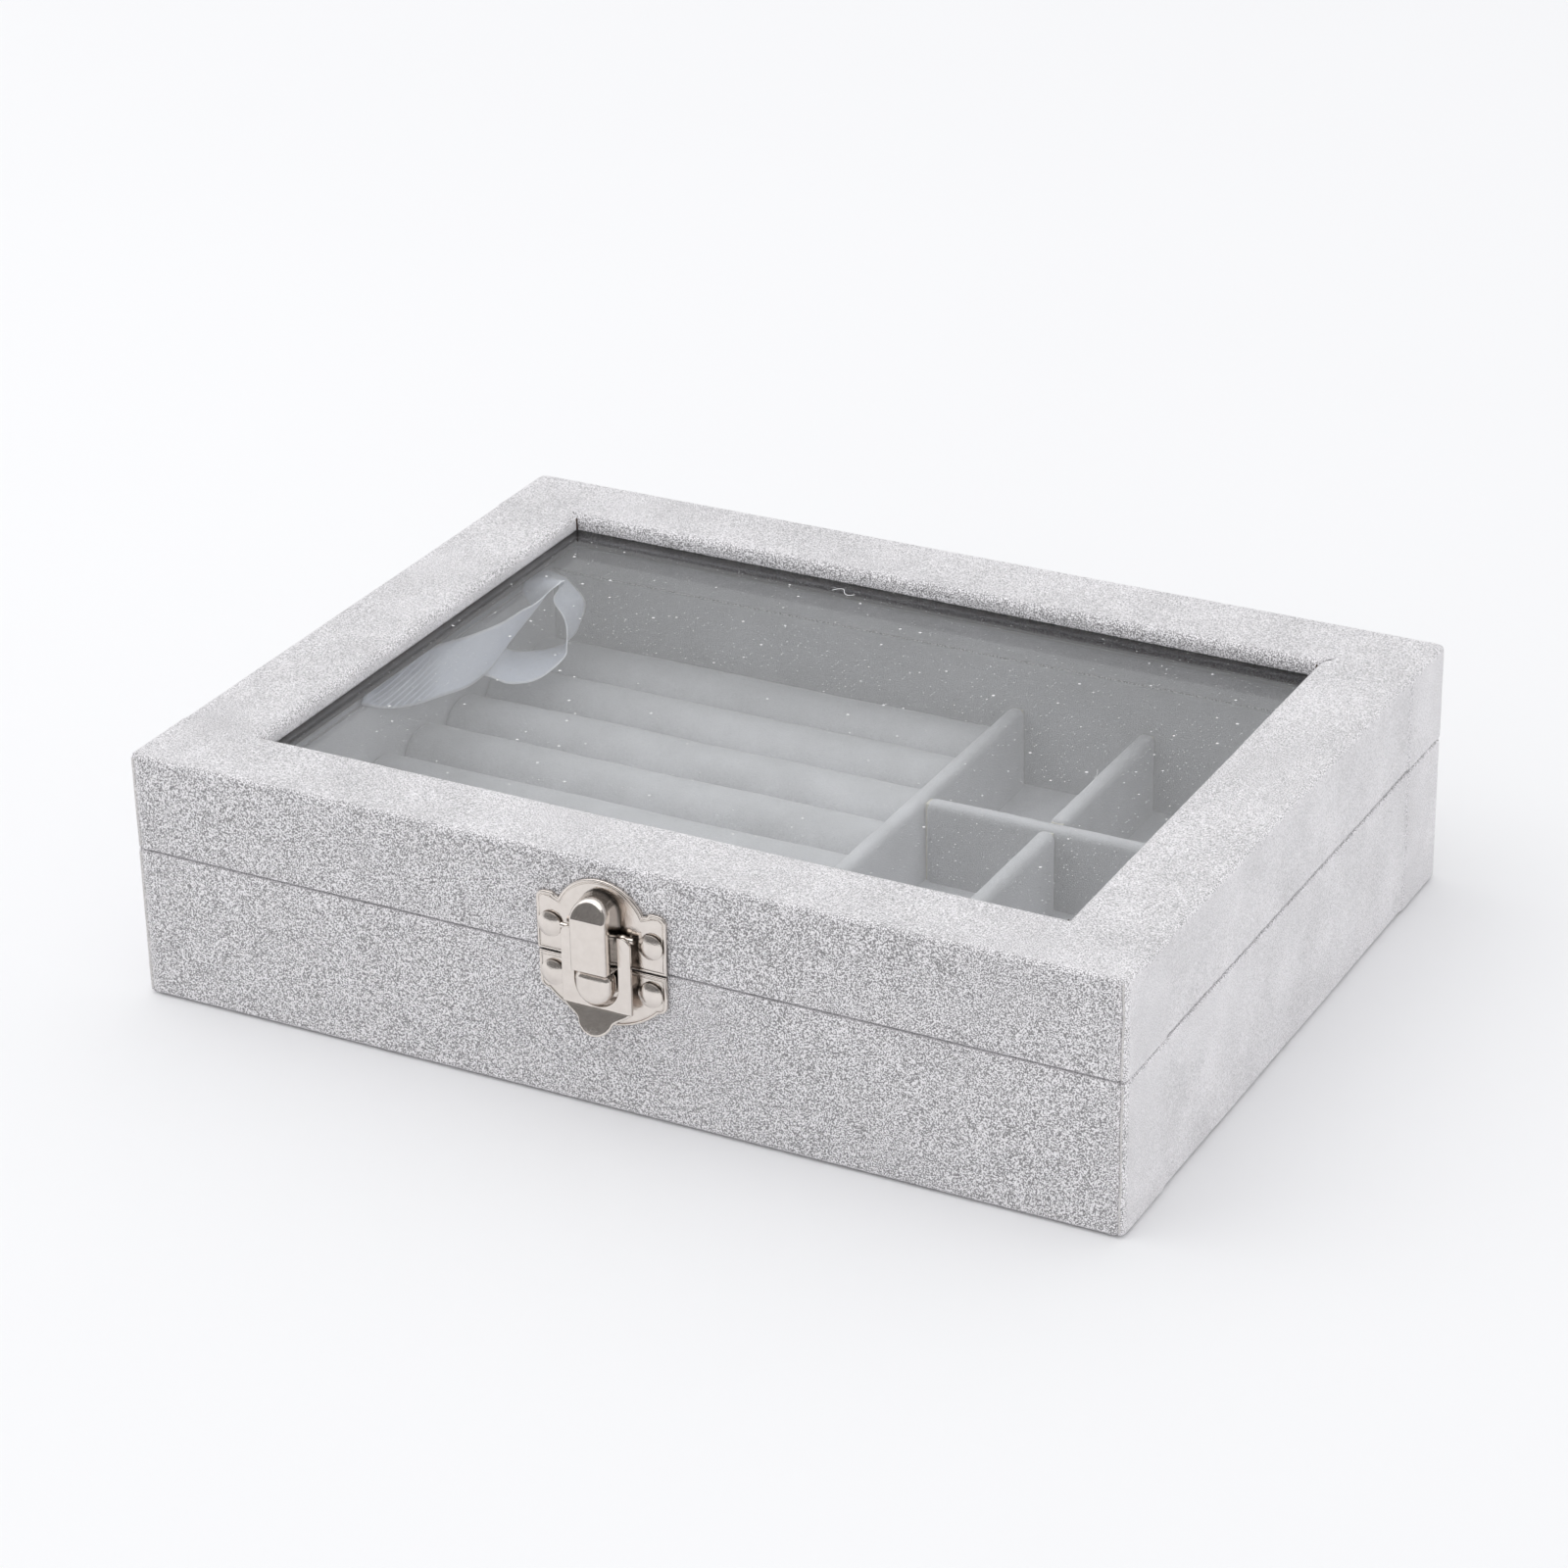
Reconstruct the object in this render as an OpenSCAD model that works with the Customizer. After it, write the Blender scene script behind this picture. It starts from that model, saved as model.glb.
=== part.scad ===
// Velvet-covered ring display box: hinged lid with a glass window, nine ring rolls, nine
// compartments, a swinging latch at the front and a ribbon lid stay.
// Millimetres, +Z up. X runs along the width and the latch faces -Y.
// The origin is the centre of the underside.

/* [Box] */
// Width of the box, side to side
box_w = 200; // [180:1:260]
// Depth of the box, front to back
box_d = 150; // [135:1:200]
// Height of the base, from the table to its rim
base_h = 30.3; // [28:0.1:50]
// Height of the lid, from its rim to its top
lid_h = 19.3; // [17:0.1:30]
// Gap at the seam between the two rims
seam_gap = 0.4; // [0.3:0.1:1]
// Radius of the upright corners
corner_r = 1.8; // [1.3:0.1:4]

/* [Walls] */
// Thickness of the velvet cover, glued round the outside
cover_t = 0.7; // [0.4:0.1:1]
// Thickness of the wall boards
board_t = 2.8; // [2:0.1:4]
// Thickness of the velvet lining strips
lining_t = 0.7; // [0.4:0.1:1.2]
// Thickness of the board under the floor
floor_board_t = 1.8; // [1.2:0.1:3]
// Thickness of the lining on the floor
floor_lining_t = 0.6; // [0.4:0.1:1.2]
// Thickness of the sheet glued under the box
sheet_t = 0.5; // [0.3:0.1:1]
// Distance from the box's edge to the sheet's edge
sheet_inset = 3; // [1:0.5:8]
// Gap where the ends of two strips meet in a corner
strip_gap = 0.1; // [0.05:0.05:0.3]
// Width of the cover's hem, turned under the base
hem_w = 9; // [5:0.5:15]

/* [Window] */
// Width of the lid's frame at the left and right of the window
frame_side_w = 17.9; // [14:0.1:30]
// Width of the lid's frame at the front and back of the window
frame_end_w = 16.8; // [14:0.1:30]
// Thickness of the board in the lid's frame
frame_board_t = 2.5; // [2:0.1:3.5]
// Thickness of the glass
glass_t = 2; // [1.5:0.1:3]
// How far the glass reaches under the frame on each side
glass_lap = 8; // [4:0.5:9]
// Gap around the glass in its rebate
glass_fit = 0.3; // [0.1:0.1:0.5]
// Thickness of the retaining frame below the glass
retainer_t = 2.2; // [1.5:0.1:3]

/* [Ring rolls] */
// Gap between two rolls, where a ring is pushed in
roll_gap = 0.3; // [0.2:0.1:1]
// Height of a roll above its card
roll_h = 13.7; // [11:0.1:16]
// Thickness of the card under the rolls
roll_card_t = 0.6; // [0.4:0.1:1.5]
// Gap at each end of a roll
roll_end_gap = 0.2; // [0.1:0.1:0.5]
// Clear width of the bay that holds the rolls
roll_bay_w = 106.1; // [80:0.1:115]

/* [Dividers] */
// Thickness of the card inside a divider
divider_card_t = 2.4; // [1.5:0.1:3]
// Thickness of the velvet on a divider
divider_skin_t = 0.7; // [0.4:0.1:1]
// Height of a divider above the floor
divider_h = 17.2; // [14:0.1:22]
// Clear depth of the compartments at the back
back_row_d = 43.7; // [30:0.1:55]
// Gap in a slot where two dividers cross
slot_fit = 0.1; // [0.05:0.05:0.3]
// Gap between the end of a divider and the wall
divider_end_gap = 0.2; // [0.1:0.1:0.5]

/* [Latch plates] */
// Thickness of the latch's plates
plate_t = 0.9; // [0.6:0.1:1.2]
// Width of the upper plate
upper_plate_w = 26.2; // [25.4:0.1:32]
// Height of the upper plate's ears above the lid's rim
upper_ear_h = 11.2; // [9:0.1:13]
// Radius of the dome on the upper plate
dome_r = 9.5; // [8:0.1:10.5]
// Height of the dome's top above the lid's rim
dome_h = 16.1; // [14:0.1:17]
// How much the lower plate falls short of the upper one on each side
lower_plate_inset = 0.2; // [0:0.1:0.4]
// Depth of the lower plate's ears below the base's rim
lower_ear_h = 7.5; // [6.5:0.1:9]
// Radius of the lower plate's rounded bottom
lower_dome_r = 15.7; // [14:0.1:18]
// Depth of the lower plate's bottom below the base's rim
lower_plate_h = 12.1; // [10:0.1:13]
// Radius of the plates' corners
ear_r = 1.8; // [0.8:0.1:2.4]
// Thickness of the raised keeper pad on the lower plate
keeper_t = 0.7; // [0.4:0.1:0.9]
// Width of the keeper pad
keeper_w = 6; // [4:0.5:10]
// Height of the keeper pad
keeper_h = 2.6; // [1.5:0.1:3]
// Distance from the middle of the latch to an upper nail
upper_nail_x = 10.2; // [10:0.1:11]
// Height of the upper nails above the lid's rim
upper_nail_h = 4.8; // [3:0.1:8]
// Distance from the middle of the latch to a lower nail
lower_nail_x = 9.9; // [9.8:0.1:11]
// Depth of the lower nails below the base's rim
lower_nail_h = 4.5; // [3:0.1:5]
// Radius of a latch nail's head
nail_head_r = 2.4; // [1.8:0.1:2.4]
// Height of a latch nail's head
nail_head_h = 1.1; // [0.6:0.1:1.3]
// Bevel on a latch nail's head
nail_bevel = 0.5; // [0.2:0.1:0.6]
// Radius of a latch nail's shank
nail_shank_r = 0.7; // [0.4:0.1:0.9]
// How much of the board's thickness a nail leaves unpierced
nail_stop = 0.4; // [0.2:0.1:1]
// Gap around the nails in their holes
nail_fit = 0.05; // [0.02:0.01:0.1]

/* [Catch block and flap] */
// Width of the catch block at the plate
block_w = 8; // [7:0.1:8.2]
// Narrowing of the catch block on each side towards its front
block_draft = 0.5; // [0.2:0.1:0.8]
// How far the catch block stands out from the velvet
block_out = 6; // [5:0.1:8]
// Height of the catch block's top above the lid's rim
block_h = 14.3; // [12:0.1:15.5]
// How far the catch block reaches below the lid's rim
block_drop = 0.6; // [0.2:0.1:1]
// Height of the sloping facet at the top of the block
facet_h = 3.9; // [2:0.1:5]
// How far the facet leans back
facet_lean = 1.1; // [0.5:0.1:2]
// Width of the rounded nose under the block
nose_w = 7.2; // [6:0.1:7.4]
// How far the nose stands out from the velvet
nose_out = 5; // [4:0.1:6]
// Depth of the nose below the lid's rim
nose_h = 7.5; // [6.5:0.1:8]
// Radius on the nose's front edge
nose_edge_r = 1.4; // [0.5:0.1:1.6]
// Gap between the nose and the lower plate behind it
nose_gap = 0.5; // [0.3:0.1:0.8]
// Width of the flap
flap_w = 14.6; // [13:0.1:14.8]
// Width of the window in the flap
flap_window_w = 8.8; // [8.6:0.1:9.4]
// Thickness of the flap
flap_t = 0.8; // [0.5:0.1:1]
// Height of the flap's pivot above the lid's rim
pivot_h = 6.3; // [5:0.1:8]
// Distance from the velvet to the flap's pivot
pivot_out = 2.1; // [2.05:0.05:2.6]
// Outer radius of the flap's curled eyes
eye_r = 1.05; // [0.9:0.05:1.1]
// Radius of the flap's pin
flap_pin_r = 0.55; // [0.4:0.05:0.65]
// Running gap around a pin in the piece that turns on it
pin_run = 0.05; // [0.02:0.01:0.1]
// Gap around a pin in the piece that holds it
pin_hold = 0.02; // [0.01:0.01:0.04]
// Depth of the flap's bend below the lid's rim
bend_drop = 8.9; // [8.6:0.1:10]
// Length of the finger tongue below the bend
tongue_len = 4.8; // [4.4:0.1:6]
// Radius of the tongue's tip
tongue_tip_r = 4.3; // [3.6:0.1:4.4]
// Outward lean of the tongue
tongue_angle = 18; // [5:1:35]
// How far beyond the flap's side the tongue's hollow is centred
tongue_hollow_x = 0.6; // [0.2:0.1:1]
// How far below the bend the tongue's hollow is centred
tongue_hollow_z = 5; // [4.5:0.1:6]

/* [Hinges] */
// Distance from the middle of the box to each hinge
hinge_x = 60; // [30:1:75]
// Width of a hinge
hinge_w = 14; // [12:0.5:24]
// Height of each hinge leaf
leaf_h = 8; // [7:0.5:12]
// Thickness of a hinge leaf
leaf_t = 0.8; // [0.5:0.1:0.9]
// Outer radius of the hinge's knuckles
knuckle_r = 1.5; // [1.2:0.1:1.6]
// Distance from the velvet to the hinge's axis
hinge_out = 1.8; // [1.8:0.1:2.2]
// Gap between the ends of two knuckles
knuckle_gap = 0.15; // [0.1:0.05:0.3]
// Radius of the hinge's pin
hinge_pin_r = 0.6; // [0.4:0.05:0.8]
// Distance between a leaf's two nails
leaf_nail_pitch = 8; // [6:0.5:9]
// Radius of a hinge nail's head
leaf_nail_head_r = 1.3; // [0.9:0.1:1.5]
// Height of a hinge nail's head
leaf_nail_head_h = 0.5; // [0.3:0.1:0.8]
// Radius of a hinge nail's shank
leaf_nail_r = 0.5; // [0.3:0.05:0.6]

/* [Ribbon] */
// Thickness of the ribbon
ribbon_t = 0.3; // [0.2:0.05:0.4]

/* [Hidden] */
$fn = 64;
eps = 0.01;
rim_t = cover_t + board_t;
wall_t = rim_t + lining_t;
inner_x = box_w / 2 - wall_t;
inner_y = box_d / 2 - wall_t;
board_x = box_w / 2 - cover_t;
board_y = box_d / 2 - cover_t;

// heights in the base
hem_z = sheet_t + cover_t;
floor_board_top = hem_z + floor_board_t;
floor_z = floor_board_top + floor_lining_t;
base_board_top = base_h - cover_t;

// heights in the lid
lid_rim_z = base_h + seam_gap;
top_z = lid_rim_z + lid_h;
lid_board_z = lid_rim_z + cover_t;
frame_top = top_z - cover_t;
glass_top = frame_top - frame_board_t;
glass_z = glass_top - glass_t;
retainer_z = glass_z - retainer_t;
window_x = box_w / 2 - frame_side_w;
window_y = box_d / 2 - frame_end_w;

// the roll bay and the compartments
roll_count = 9;
column_count = 3;
roll_card_z = floor_z + roll_card_t;
roll_pitch = 2 * inner_y / roll_count;
roll_w = roll_pitch - roll_gap;
divider_t = divider_card_t + 2 * divider_skin_t;
long_divider_x = -inner_x + roll_bay_w + divider_t / 2;
grid_x = long_divider_x + divider_t / 2;
column_w = (inner_x - grid_x - (column_count - 1) * divider_t) / column_count;
function column_x(i) = grid_x + i * (column_w + divider_t) - divider_t / 2;
front_row_d = (2 * inner_y - back_row_d - 2 * divider_t) / 2;
row_y = [inner_y - back_row_d - front_row_d - 1.5 * divider_t, inner_y - back_row_d - divider_t / 2];

// the latch
nail_len = plate_t + rim_t - nail_stop;
lower_plate_w = upper_plate_w - 2 * lower_plate_inset;
lower_nail_z = base_h - lower_nail_h;
upper_nail_z = lid_rim_z + upper_nail_h;
nose_r = nose_w / 2;
nose_z = lid_rim_z - nose_h + nose_r;
nose_back = plate_t + nose_gap;
pivot_z = lid_rim_z + pivot_h;
flap_back = pivot_out + eye_r - flap_t;
bend_z = lid_rim_z - bend_drop;

// the hinges
hinge_z = (base_h + lid_rim_z) / 2;
leaf_gap = knuckle_r + knuckle_gap;
leaf_nail_len = leaf_t + rim_t - nail_stop;
knuckle_w = (hinge_w - 2 * knuckle_gap) / 3;
base_leaf_nail_z = hinge_z - leaf_gap - leaf_h / 2;
lid_leaf_nail_z = hinge_z + leaf_gap + leaf_h / 2;

velvet = [0.76, 0.75, 0.76];
velvet_inside = [0.66, 0.66, 0.68];
board = [0.62, 0.50, 0.38];
card = [0.80, 0.78, 0.72];
nickel = [0.82, 0.80, 0.76];

// ---- shared shapes ----

// A flat rectangle with round corners, x and y from the middle
module rounded_rect(x, y, r) {
    square([2 * (x - r), 2 * y], center = true);
    square([2 * x, 2 * (y - r)], center = true);
    for (sx = [-1, 1], sy = [-1, 1]) translate([sx * (x - r), sy * (y - r)]) circle(r);
}

// The outline of the box, moved in by an inset
module box_prism(inset, z0, z1) {
    r = max(corner_r - inset, 0.1);
    translate([0, 0, z0]) linear_extrude(z1 - z0)
        rounded_rect(box_w / 2 - inset, box_d / 2 - inset, r);
}

// A straight-edged block about the Z axis
module block_about_z(x, y, z0, z1) {
    translate([-x, -y, z0]) cube([2 * x, 2 * y, z1 - z0]);
}

// A block between two corners
module span(a, b) {
    translate(a) cube(b - a);
}

// Children drawn flat on the front face, with height as Y and outwards as Z
module on_front() {
    translate([0, -box_d / 2, 0]) rotate([90, 0, 0]) children();
}

// Children drawn flat on the back face, with height as Y and outwards as Z
module on_back() {
    translate([0, box_d / 2, 0]) rotate([90, 0, 180]) children();
}

// A profile of depth and height, run along X from x0 to x1
module along_x(x0, x1) {
    translate([x0, 0, 0]) rotate([90, 0, 90]) linear_extrude(x1 - x0) children();
}

// The nail positions on the latch and on the hinges
module at_latch_nails(x, z) {
    for (s = [-1, 1]) translate([s * x, z, 0]) children();
}

module at_leaf_nails(z) {
    for (h = [-1, 1], s = [-1, 1])
        translate([h * hinge_x + s * leaf_nail_pitch / 2, z, 0]) children();
}

module nail_holes(z_latch, x_latch, z_leaf) {
    on_front() at_latch_nails(x_latch, z_latch) hole(nail_shank_r, nail_len, plate_t);
    on_back() at_leaf_nails(z_leaf) hole(leaf_nail_r, leaf_nail_len, leaf_t);
}

// A nail's hole, from just outside the metal to the end of the shank
module hole(r, len, metal_t) {
    translate([0, 0, metal_t - len - nail_fit]) cylinder(r = r + nail_fit, h = len + 1);
}

module base_holes() {
    nail_holes(lower_nail_z, lower_nail_x, base_leaf_nail_z);
}

module lid_holes() {
    nail_holes(upper_nail_z, upper_nail_x, lid_leaf_nail_z);
}

// ---- base: covered boards ----

// Velvet round the base's walls, over the rim and turned under the bottom
module base_cover() {
    color(velvet) difference() {
        box_prism(0, sheet_t, base_h);
        box_prism(cover_t, hem_z, base_board_top);
        block_about_z(inner_x + lining_t, inner_y + lining_t, base_board_top - eps, base_h + eps);
        block_about_z(box_w / 2 - hem_w, box_d / 2 - hem_w, sheet_t - eps, hem_z + eps);
        base_holes();
    }
}

module base_bottom_board() {
    color(board) block_about_z(board_x - board_t, board_y - board_t, hem_z, floor_board_top);
}

// A long wall board at the front (s = -1) or back (s = 1), cut to the cover's round corners
module end_board(s, z0, z1) {
    intersection() {
        box_prism(cover_t, z0, z1);
        span([-box_w, min(s * board_y, s * (board_y - board_t)), z0],
             [box_w, max(s * board_y, s * (board_y - board_t)), z1]);
    }
}

// A side wall board at the left (s = -1) or right (s = 1), between the long ones
module side_board(s, z0, z1) {
    span([min(s * board_x, s * (board_x - board_t)), board_t - board_y, z0],
         [max(s * board_x, s * (board_x - board_t)), board_y - board_t, z1]);
}

module base_front_board() {
    color(board) difference() {
        end_board(-1, hem_z, base_board_top);
        base_holes();
    }
}

module base_back_board() {
    color(board) difference() {
        end_board(1, hem_z, base_board_top);
        base_holes();
    }
}

module base_left_board() {
    color(board) side_board(-1, hem_z, base_board_top);
}

module base_right_board() {
    color(board) side_board(1, hem_z, base_board_top);
}

// Four lining strips inside the wall boards, the end ones full length
module lining_strips(z0, z1) {
    for (s = [-1, 1]) {
        translate([0, s * (inner_y + lining_t / 2), 0])
            block_about_z(inner_x + lining_t, lining_t / 2, z0, z1);
        translate([s * (inner_x + lining_t / 2), 0, 0])
            block_about_z(lining_t / 2, inner_y - strip_gap, z0, z1);
    }
}

module base_lining() {
    color(velvet_inside) lining_strips(floor_board_top, base_h);
}

module floor_lining() {
    color(velvet_inside) block_about_z(inner_x, inner_y, floor_board_top, floor_z);
}

module underside_sheet() {
    color(card) block_about_z(box_w / 2 - sheet_inset, box_d / 2 - sheet_inset, 0, sheet_t);
}

// ---- base: ring rolls ----

module roll_card() {
    color(card) span([-inner_x, -inner_y, floor_z],
                     [long_divider_x - divider_t / 2 - divider_end_gap, inner_y, roll_card_z]);
}

// A foam strip with a round top, wrapped in velvet; roll 1 is at the front
module ring_roll(i) {
    r = roll_w / 2;
    y = -inner_y + (i - 0.5) * roll_pitch;
    color(velvet_inside)
        along_x(-inner_x + roll_end_gap, long_divider_x - divider_t / 2 - roll_end_gap)
            translate([y, roll_card_z]) intersection() {
                translate([-r, 0]) square([2 * r, roll_h]);
                union() {
                    translate([-r, 0]) square([2 * r, roll_h - r]);
                    translate([0, roll_h - r]) circle(r);
                }
            }
}

// ---- base: dividers ----

// The upright section of a divider: a card edge or the velvet folded over it
module card_section() {
    translate([-divider_card_t / 2, 0]) square([divider_card_t, divider_h - divider_skin_t]);
}

module cover_section() {
    r = divider_t / 2;
    difference() {
        union() {
            translate([-r, 0]) square([divider_t, divider_h - r]);
            translate([0, divider_h - r]) circle(r);
        }
        translate([-divider_card_t / 2, -eps])
            square([divider_card_t, divider_h - divider_skin_t + eps]);
    }
}

// A divider piece along Y at x, its section passed as the child
module divider_along_y(x, y0, y1) {
    translate([x, y1, floor_z]) rotate([90, 0, 0]) linear_extrude(y1 - y0) children();
}

// A divider piece along X at y
module divider_along_x(y, x0, x1) {
    translate([0, y, floor_z]) along_x(x0, x1) children();
}

// Slots from the top of the column dividers, where the row dividers drop in
module column_slots() {
    half = divider_t / 2 + slot_fit;
    for (y = row_y)
        span([grid_x, y - half, floor_z + divider_h / 2], [inner_x, y + half, base_h]);
}

// Slots from the bottom of the row dividers
module row_slots() {
    half = divider_t / 2 + slot_fit;
    for (i = [1:column_count - 1])
        span([column_x(i) - half, -inner_y, floor_z - eps],
             [column_x(i) + half, inner_y, floor_z + divider_h / 2 + slot_fit]);
}

module long_divider_card() {
    color(card) divider_along_y(long_divider_x, -inner_y + divider_end_gap, inner_y - divider_end_gap)
        card_section();
}

module long_divider_cover() {
    color(velvet_inside)
        divider_along_y(long_divider_x, -inner_y + divider_end_gap, inner_y - divider_end_gap)
            cover_section();
}

module column_divider(i) {
    difference() {
        divider_along_y(column_x(i), -inner_y + divider_end_gap, inner_y - divider_end_gap)
            children();
        column_slots();
    }
}

module row_divider(i) {
    difference() {
        divider_along_x(row_y[i - 1], grid_x + divider_end_gap, inner_x - divider_end_gap)
            children();
        row_slots();
    }
}

module column_divider_card(i) {
    color(card) column_divider(i) card_section();
}

module column_divider_cover(i) {
    color(velvet_inside) column_divider(i) cover_section();
}

module row_divider_card(i) {
    color(card) row_divider(i) card_section();
}

module row_divider_cover(i) {
    color(velvet_inside) row_divider(i) cover_section();
}

// ---- latch ----

// A nail: bevelled head on the metal, shank into the board
module nail(head_r, head_h, bevel, shank_r, len, metal_t) {
    translate([0, 0, metal_t]) rotate_extrude()
        polygon([[0, -len], [shank_r, -len], [shank_r, 0], [head_r, 0],
                 [head_r, head_h - bevel], [head_r - bevel, head_h], [0, head_h]]);
}

// A plate's ears, square at the seam and round at the far corners
module ears(w, h, up) {
    scale_y = up ? 1 : -1;
    translate([-w / 2, up ? 0 : -(h - ear_r)]) square([w, h - ear_r]);
    translate([ear_r - w / 2, up ? 0 : -h]) square([w - 2 * ear_r, h]);
    for (s = [-1, 1]) translate([s * (w / 2 - ear_r), scale_y * (h - ear_r)]) circle(ear_r);
}

module upper_plate_outline() {
    translate([0, lid_rim_z]) {
        ears(upper_plate_w, upper_ear_h, true);
        intersection() {
            translate([0, dome_h - dome_r]) circle(dome_r);
            translate([-dome_r, 0]) square([2 * dome_r, dome_h]);
        }
    }
}

module lower_plate_outline() {
    translate([0, base_h]) {
        ears(lower_plate_w, lower_ear_h, false);
        intersection() {
            translate([0, lower_dome_r - lower_plate_h]) circle(lower_dome_r);
            translate([ear_r - lower_plate_w / 2, -lower_plate_h])
                square([lower_plate_w - 2 * ear_r, lower_plate_h - eps]);
        }
    }
}

module latch_upper_plate() {
    color(nickel) difference() {
        on_front() linear_extrude(plate_t) upper_plate_outline();
        lid_holes();
    }
}

// The lower plate, with a low pad that the flap's bar rests in front of
module latch_lower_plate() {
    color(nickel) {
        difference() {
            on_front() linear_extrude(plate_t) lower_plate_outline();
            base_holes();
        }
        on_front() translate([-keeper_w / 2, base_h - lower_plate_h + ear_r / 2, plate_t - eps])
            cube([keeper_w, keeper_h, keeper_t + eps]);
    }
}

module latch_upper_nails() {
    color(nickel) on_front() at_latch_nails(upper_nail_x, upper_nail_z)
        nail(nail_head_r, nail_head_h, nail_bevel, nail_shank_r, nail_len, plate_t);
}

module latch_lower_nails() {
    color(nickel) on_front() at_latch_nails(lower_nail_x, lower_nail_z)
        nail(nail_head_r, nail_head_h, nail_bevel, nail_shank_r, nail_len, plate_t);
}

// The front view of the catch block: upright sides and a round top
module block_front() {
    r = block_w / 2;
    translate([-r, lid_rim_z - block_drop]) square([block_w, block_h + block_drop - r]);
    translate([0, lid_rim_z + block_h - r]) circle(r);
}

// The side view of the catch block, depth from the velvet against height
module block_side() {
    facet_z = lid_rim_z + block_h - facet_h;
    polygon([
        [plate_t, lid_rim_z], [nose_back, lid_rim_z], [nose_back, lid_rim_z - block_drop],
        [block_out, lid_rim_z - block_drop], [block_out, facet_z],
        [block_out - facet_lean, lid_rim_z + block_h], [plate_t, lid_rim_z + block_h]
    ]);
}

// The top view of the catch block, narrower at the front
module block_top() {
    polygon([
        [-block_w / 2, -plate_t], [block_w / 2, -plate_t],
        [block_w / 2 - block_draft, -block_out], [block_draft - block_w / 2, -block_out]
    ]);
}

// The section of the nose from its middle out, with a round front edge
module nose_section() {
    square_h = nose_out - nose_back;
    translate([0, nose_back]) {
        square([nose_r, square_h - nose_edge_r]);
        square([nose_r - nose_edge_r, square_h]);
        intersection() {
            translate([nose_r - nose_edge_r, square_h - nose_edge_r]) circle(nose_edge_r);
            square([nose_r, square_h]);
        }
    }
}

module nose() {
    on_front() translate([0, nose_z, 0]) rotate_extrude() nose_section();
    translate([0, -box_d / 2, nose_z]) linear_extrude(lid_rim_z - nose_z)
        for (s = [0, 1]) mirror([s, 0]) mirror([0, 1]) nose_section();
}

// The catch block on the upper plate, with the pivot's bore and the nose that fills the flap
module latch_catch_block() {
    color(nickel) difference() {
        union() {
            intersection() {
                on_front() linear_extrude(block_out + 1) block_front();
                translate([0, -box_d / 2, 0]) mirror([0, 1, 0])
                    along_x(-block_w, block_w) block_side();
                translate([0, -box_d / 2, 0]) linear_extrude(top_z) block_top();
            }
            nose();
        }
        pivot_cylinder(flap_pin_r + pin_run, block_w);
    }
}

// A cylinder on the flap's pivot axis
module pivot_cylinder(r, half_w) {
    translate([-half_w, -box_d / 2 - pivot_out, pivot_z]) rotate([0, 90, 0])
        cylinder(r = r, h = 2 * half_w);
}

// The flat front of the flap: two straps, a bar and a round-bottomed window
module flap_outline() {
    window_r = flap_window_w / 2;
    difference() {
        translate([-flap_w / 2, bend_z]) square([flap_w, pivot_z - bend_z]);
        translate([-window_r, nose_z]) square([flap_window_w, pivot_z]);
        translate([0, nose_z]) circle(window_r);
    }
}

// The finger tongue below the bend: a round tip with a hollow blended in on each side
module tongue_outline() {
    tip_y = tongue_tip_r - tongue_len;
    hollow = [flap_w / 2 + tongue_hollow_x, -tongue_hollow_z];
    hollow_r = norm([hollow.x, hollow.y - tip_y]) - tongue_tip_r;
    blend_y = tip_y + (hollow.y - tip_y) * tongue_tip_r / (tongue_tip_r + hollow_r);
    translate([0, tip_y]) circle(tongue_tip_r);
    difference() {
        translate([-flap_w / 2, blend_y]) square([flap_w, -blend_y]);
        for (s = [-1, 1]) translate([s * hollow.x, hollow.y]) circle(hollow_r);
    }
}

module latch_flap() {
    color(nickel) difference() {
        union() {
            on_front() translate([0, 0, flap_back]) linear_extrude(flap_t) flap_outline();
            on_front() translate([0, bend_z, flap_back]) rotate([-tongue_angle, 0, 0])
                intersection() {
                    linear_extrude(flap_t) tongue_outline();
                    translate([-flap_w, -2 * tongue_len, 0])
                        cube([2 * flap_w, 2 * tongue_len, flap_t]);
                }
            for (s = [-1, 1]) intersection() {
                pivot_cylinder(eye_r, flap_w / 2);
                translate([s * (flap_w + flap_window_w) / 2, -box_d / 2 - pivot_out, pivot_z])
                    cube([flap_w, 4 * eye_r, 4 * eye_r], center = true);
            }
        }
        pivot_cylinder(flap_pin_r + pin_hold, flap_w);
    }
}

module latch_pin() {
    color(nickel) pivot_cylinder(flap_pin_r, flap_w / 2);
}

// ---- hinges ----

module hinge_axis_cylinder(r, x0, x1) {
    translate([x0, box_d / 2 + hinge_out, hinge_z]) rotate([0, 90, 0])
        cylinder(r = r, h = x1 - x0);
}

// A hinge leaf: a flat plate, and a tab and knuckle over each stretch of x in spans.
// side is 1 for the lid's leaf and -1 for the base's.
module leaf(side, spans, bore_gap) {
    difference() {
        union() {
            leaf_block(side, -hinge_w / 2, hinge_w / 2, leaf_gap, leaf_gap + leaf_h);
            for (s = spans) {
                leaf_block(side, s[0], s[1], 0, leaf_gap);
                hinge_axis_cylinder(knuckle_r, s[0], s[1]);
            }
        }
        hinge_axis_cylinder(hinge_pin_r + bore_gap, -hinge_w, hinge_w);
    }
}

module leaf_block(side, x0, x1, from_axis, to_axis) {
    z = [hinge_z + side * from_axis, hinge_z + side * to_axis];
    span([x0, box_d / 2, min(z)], [x1, box_d / 2 + leaf_t, max(z)]);
}

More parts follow.
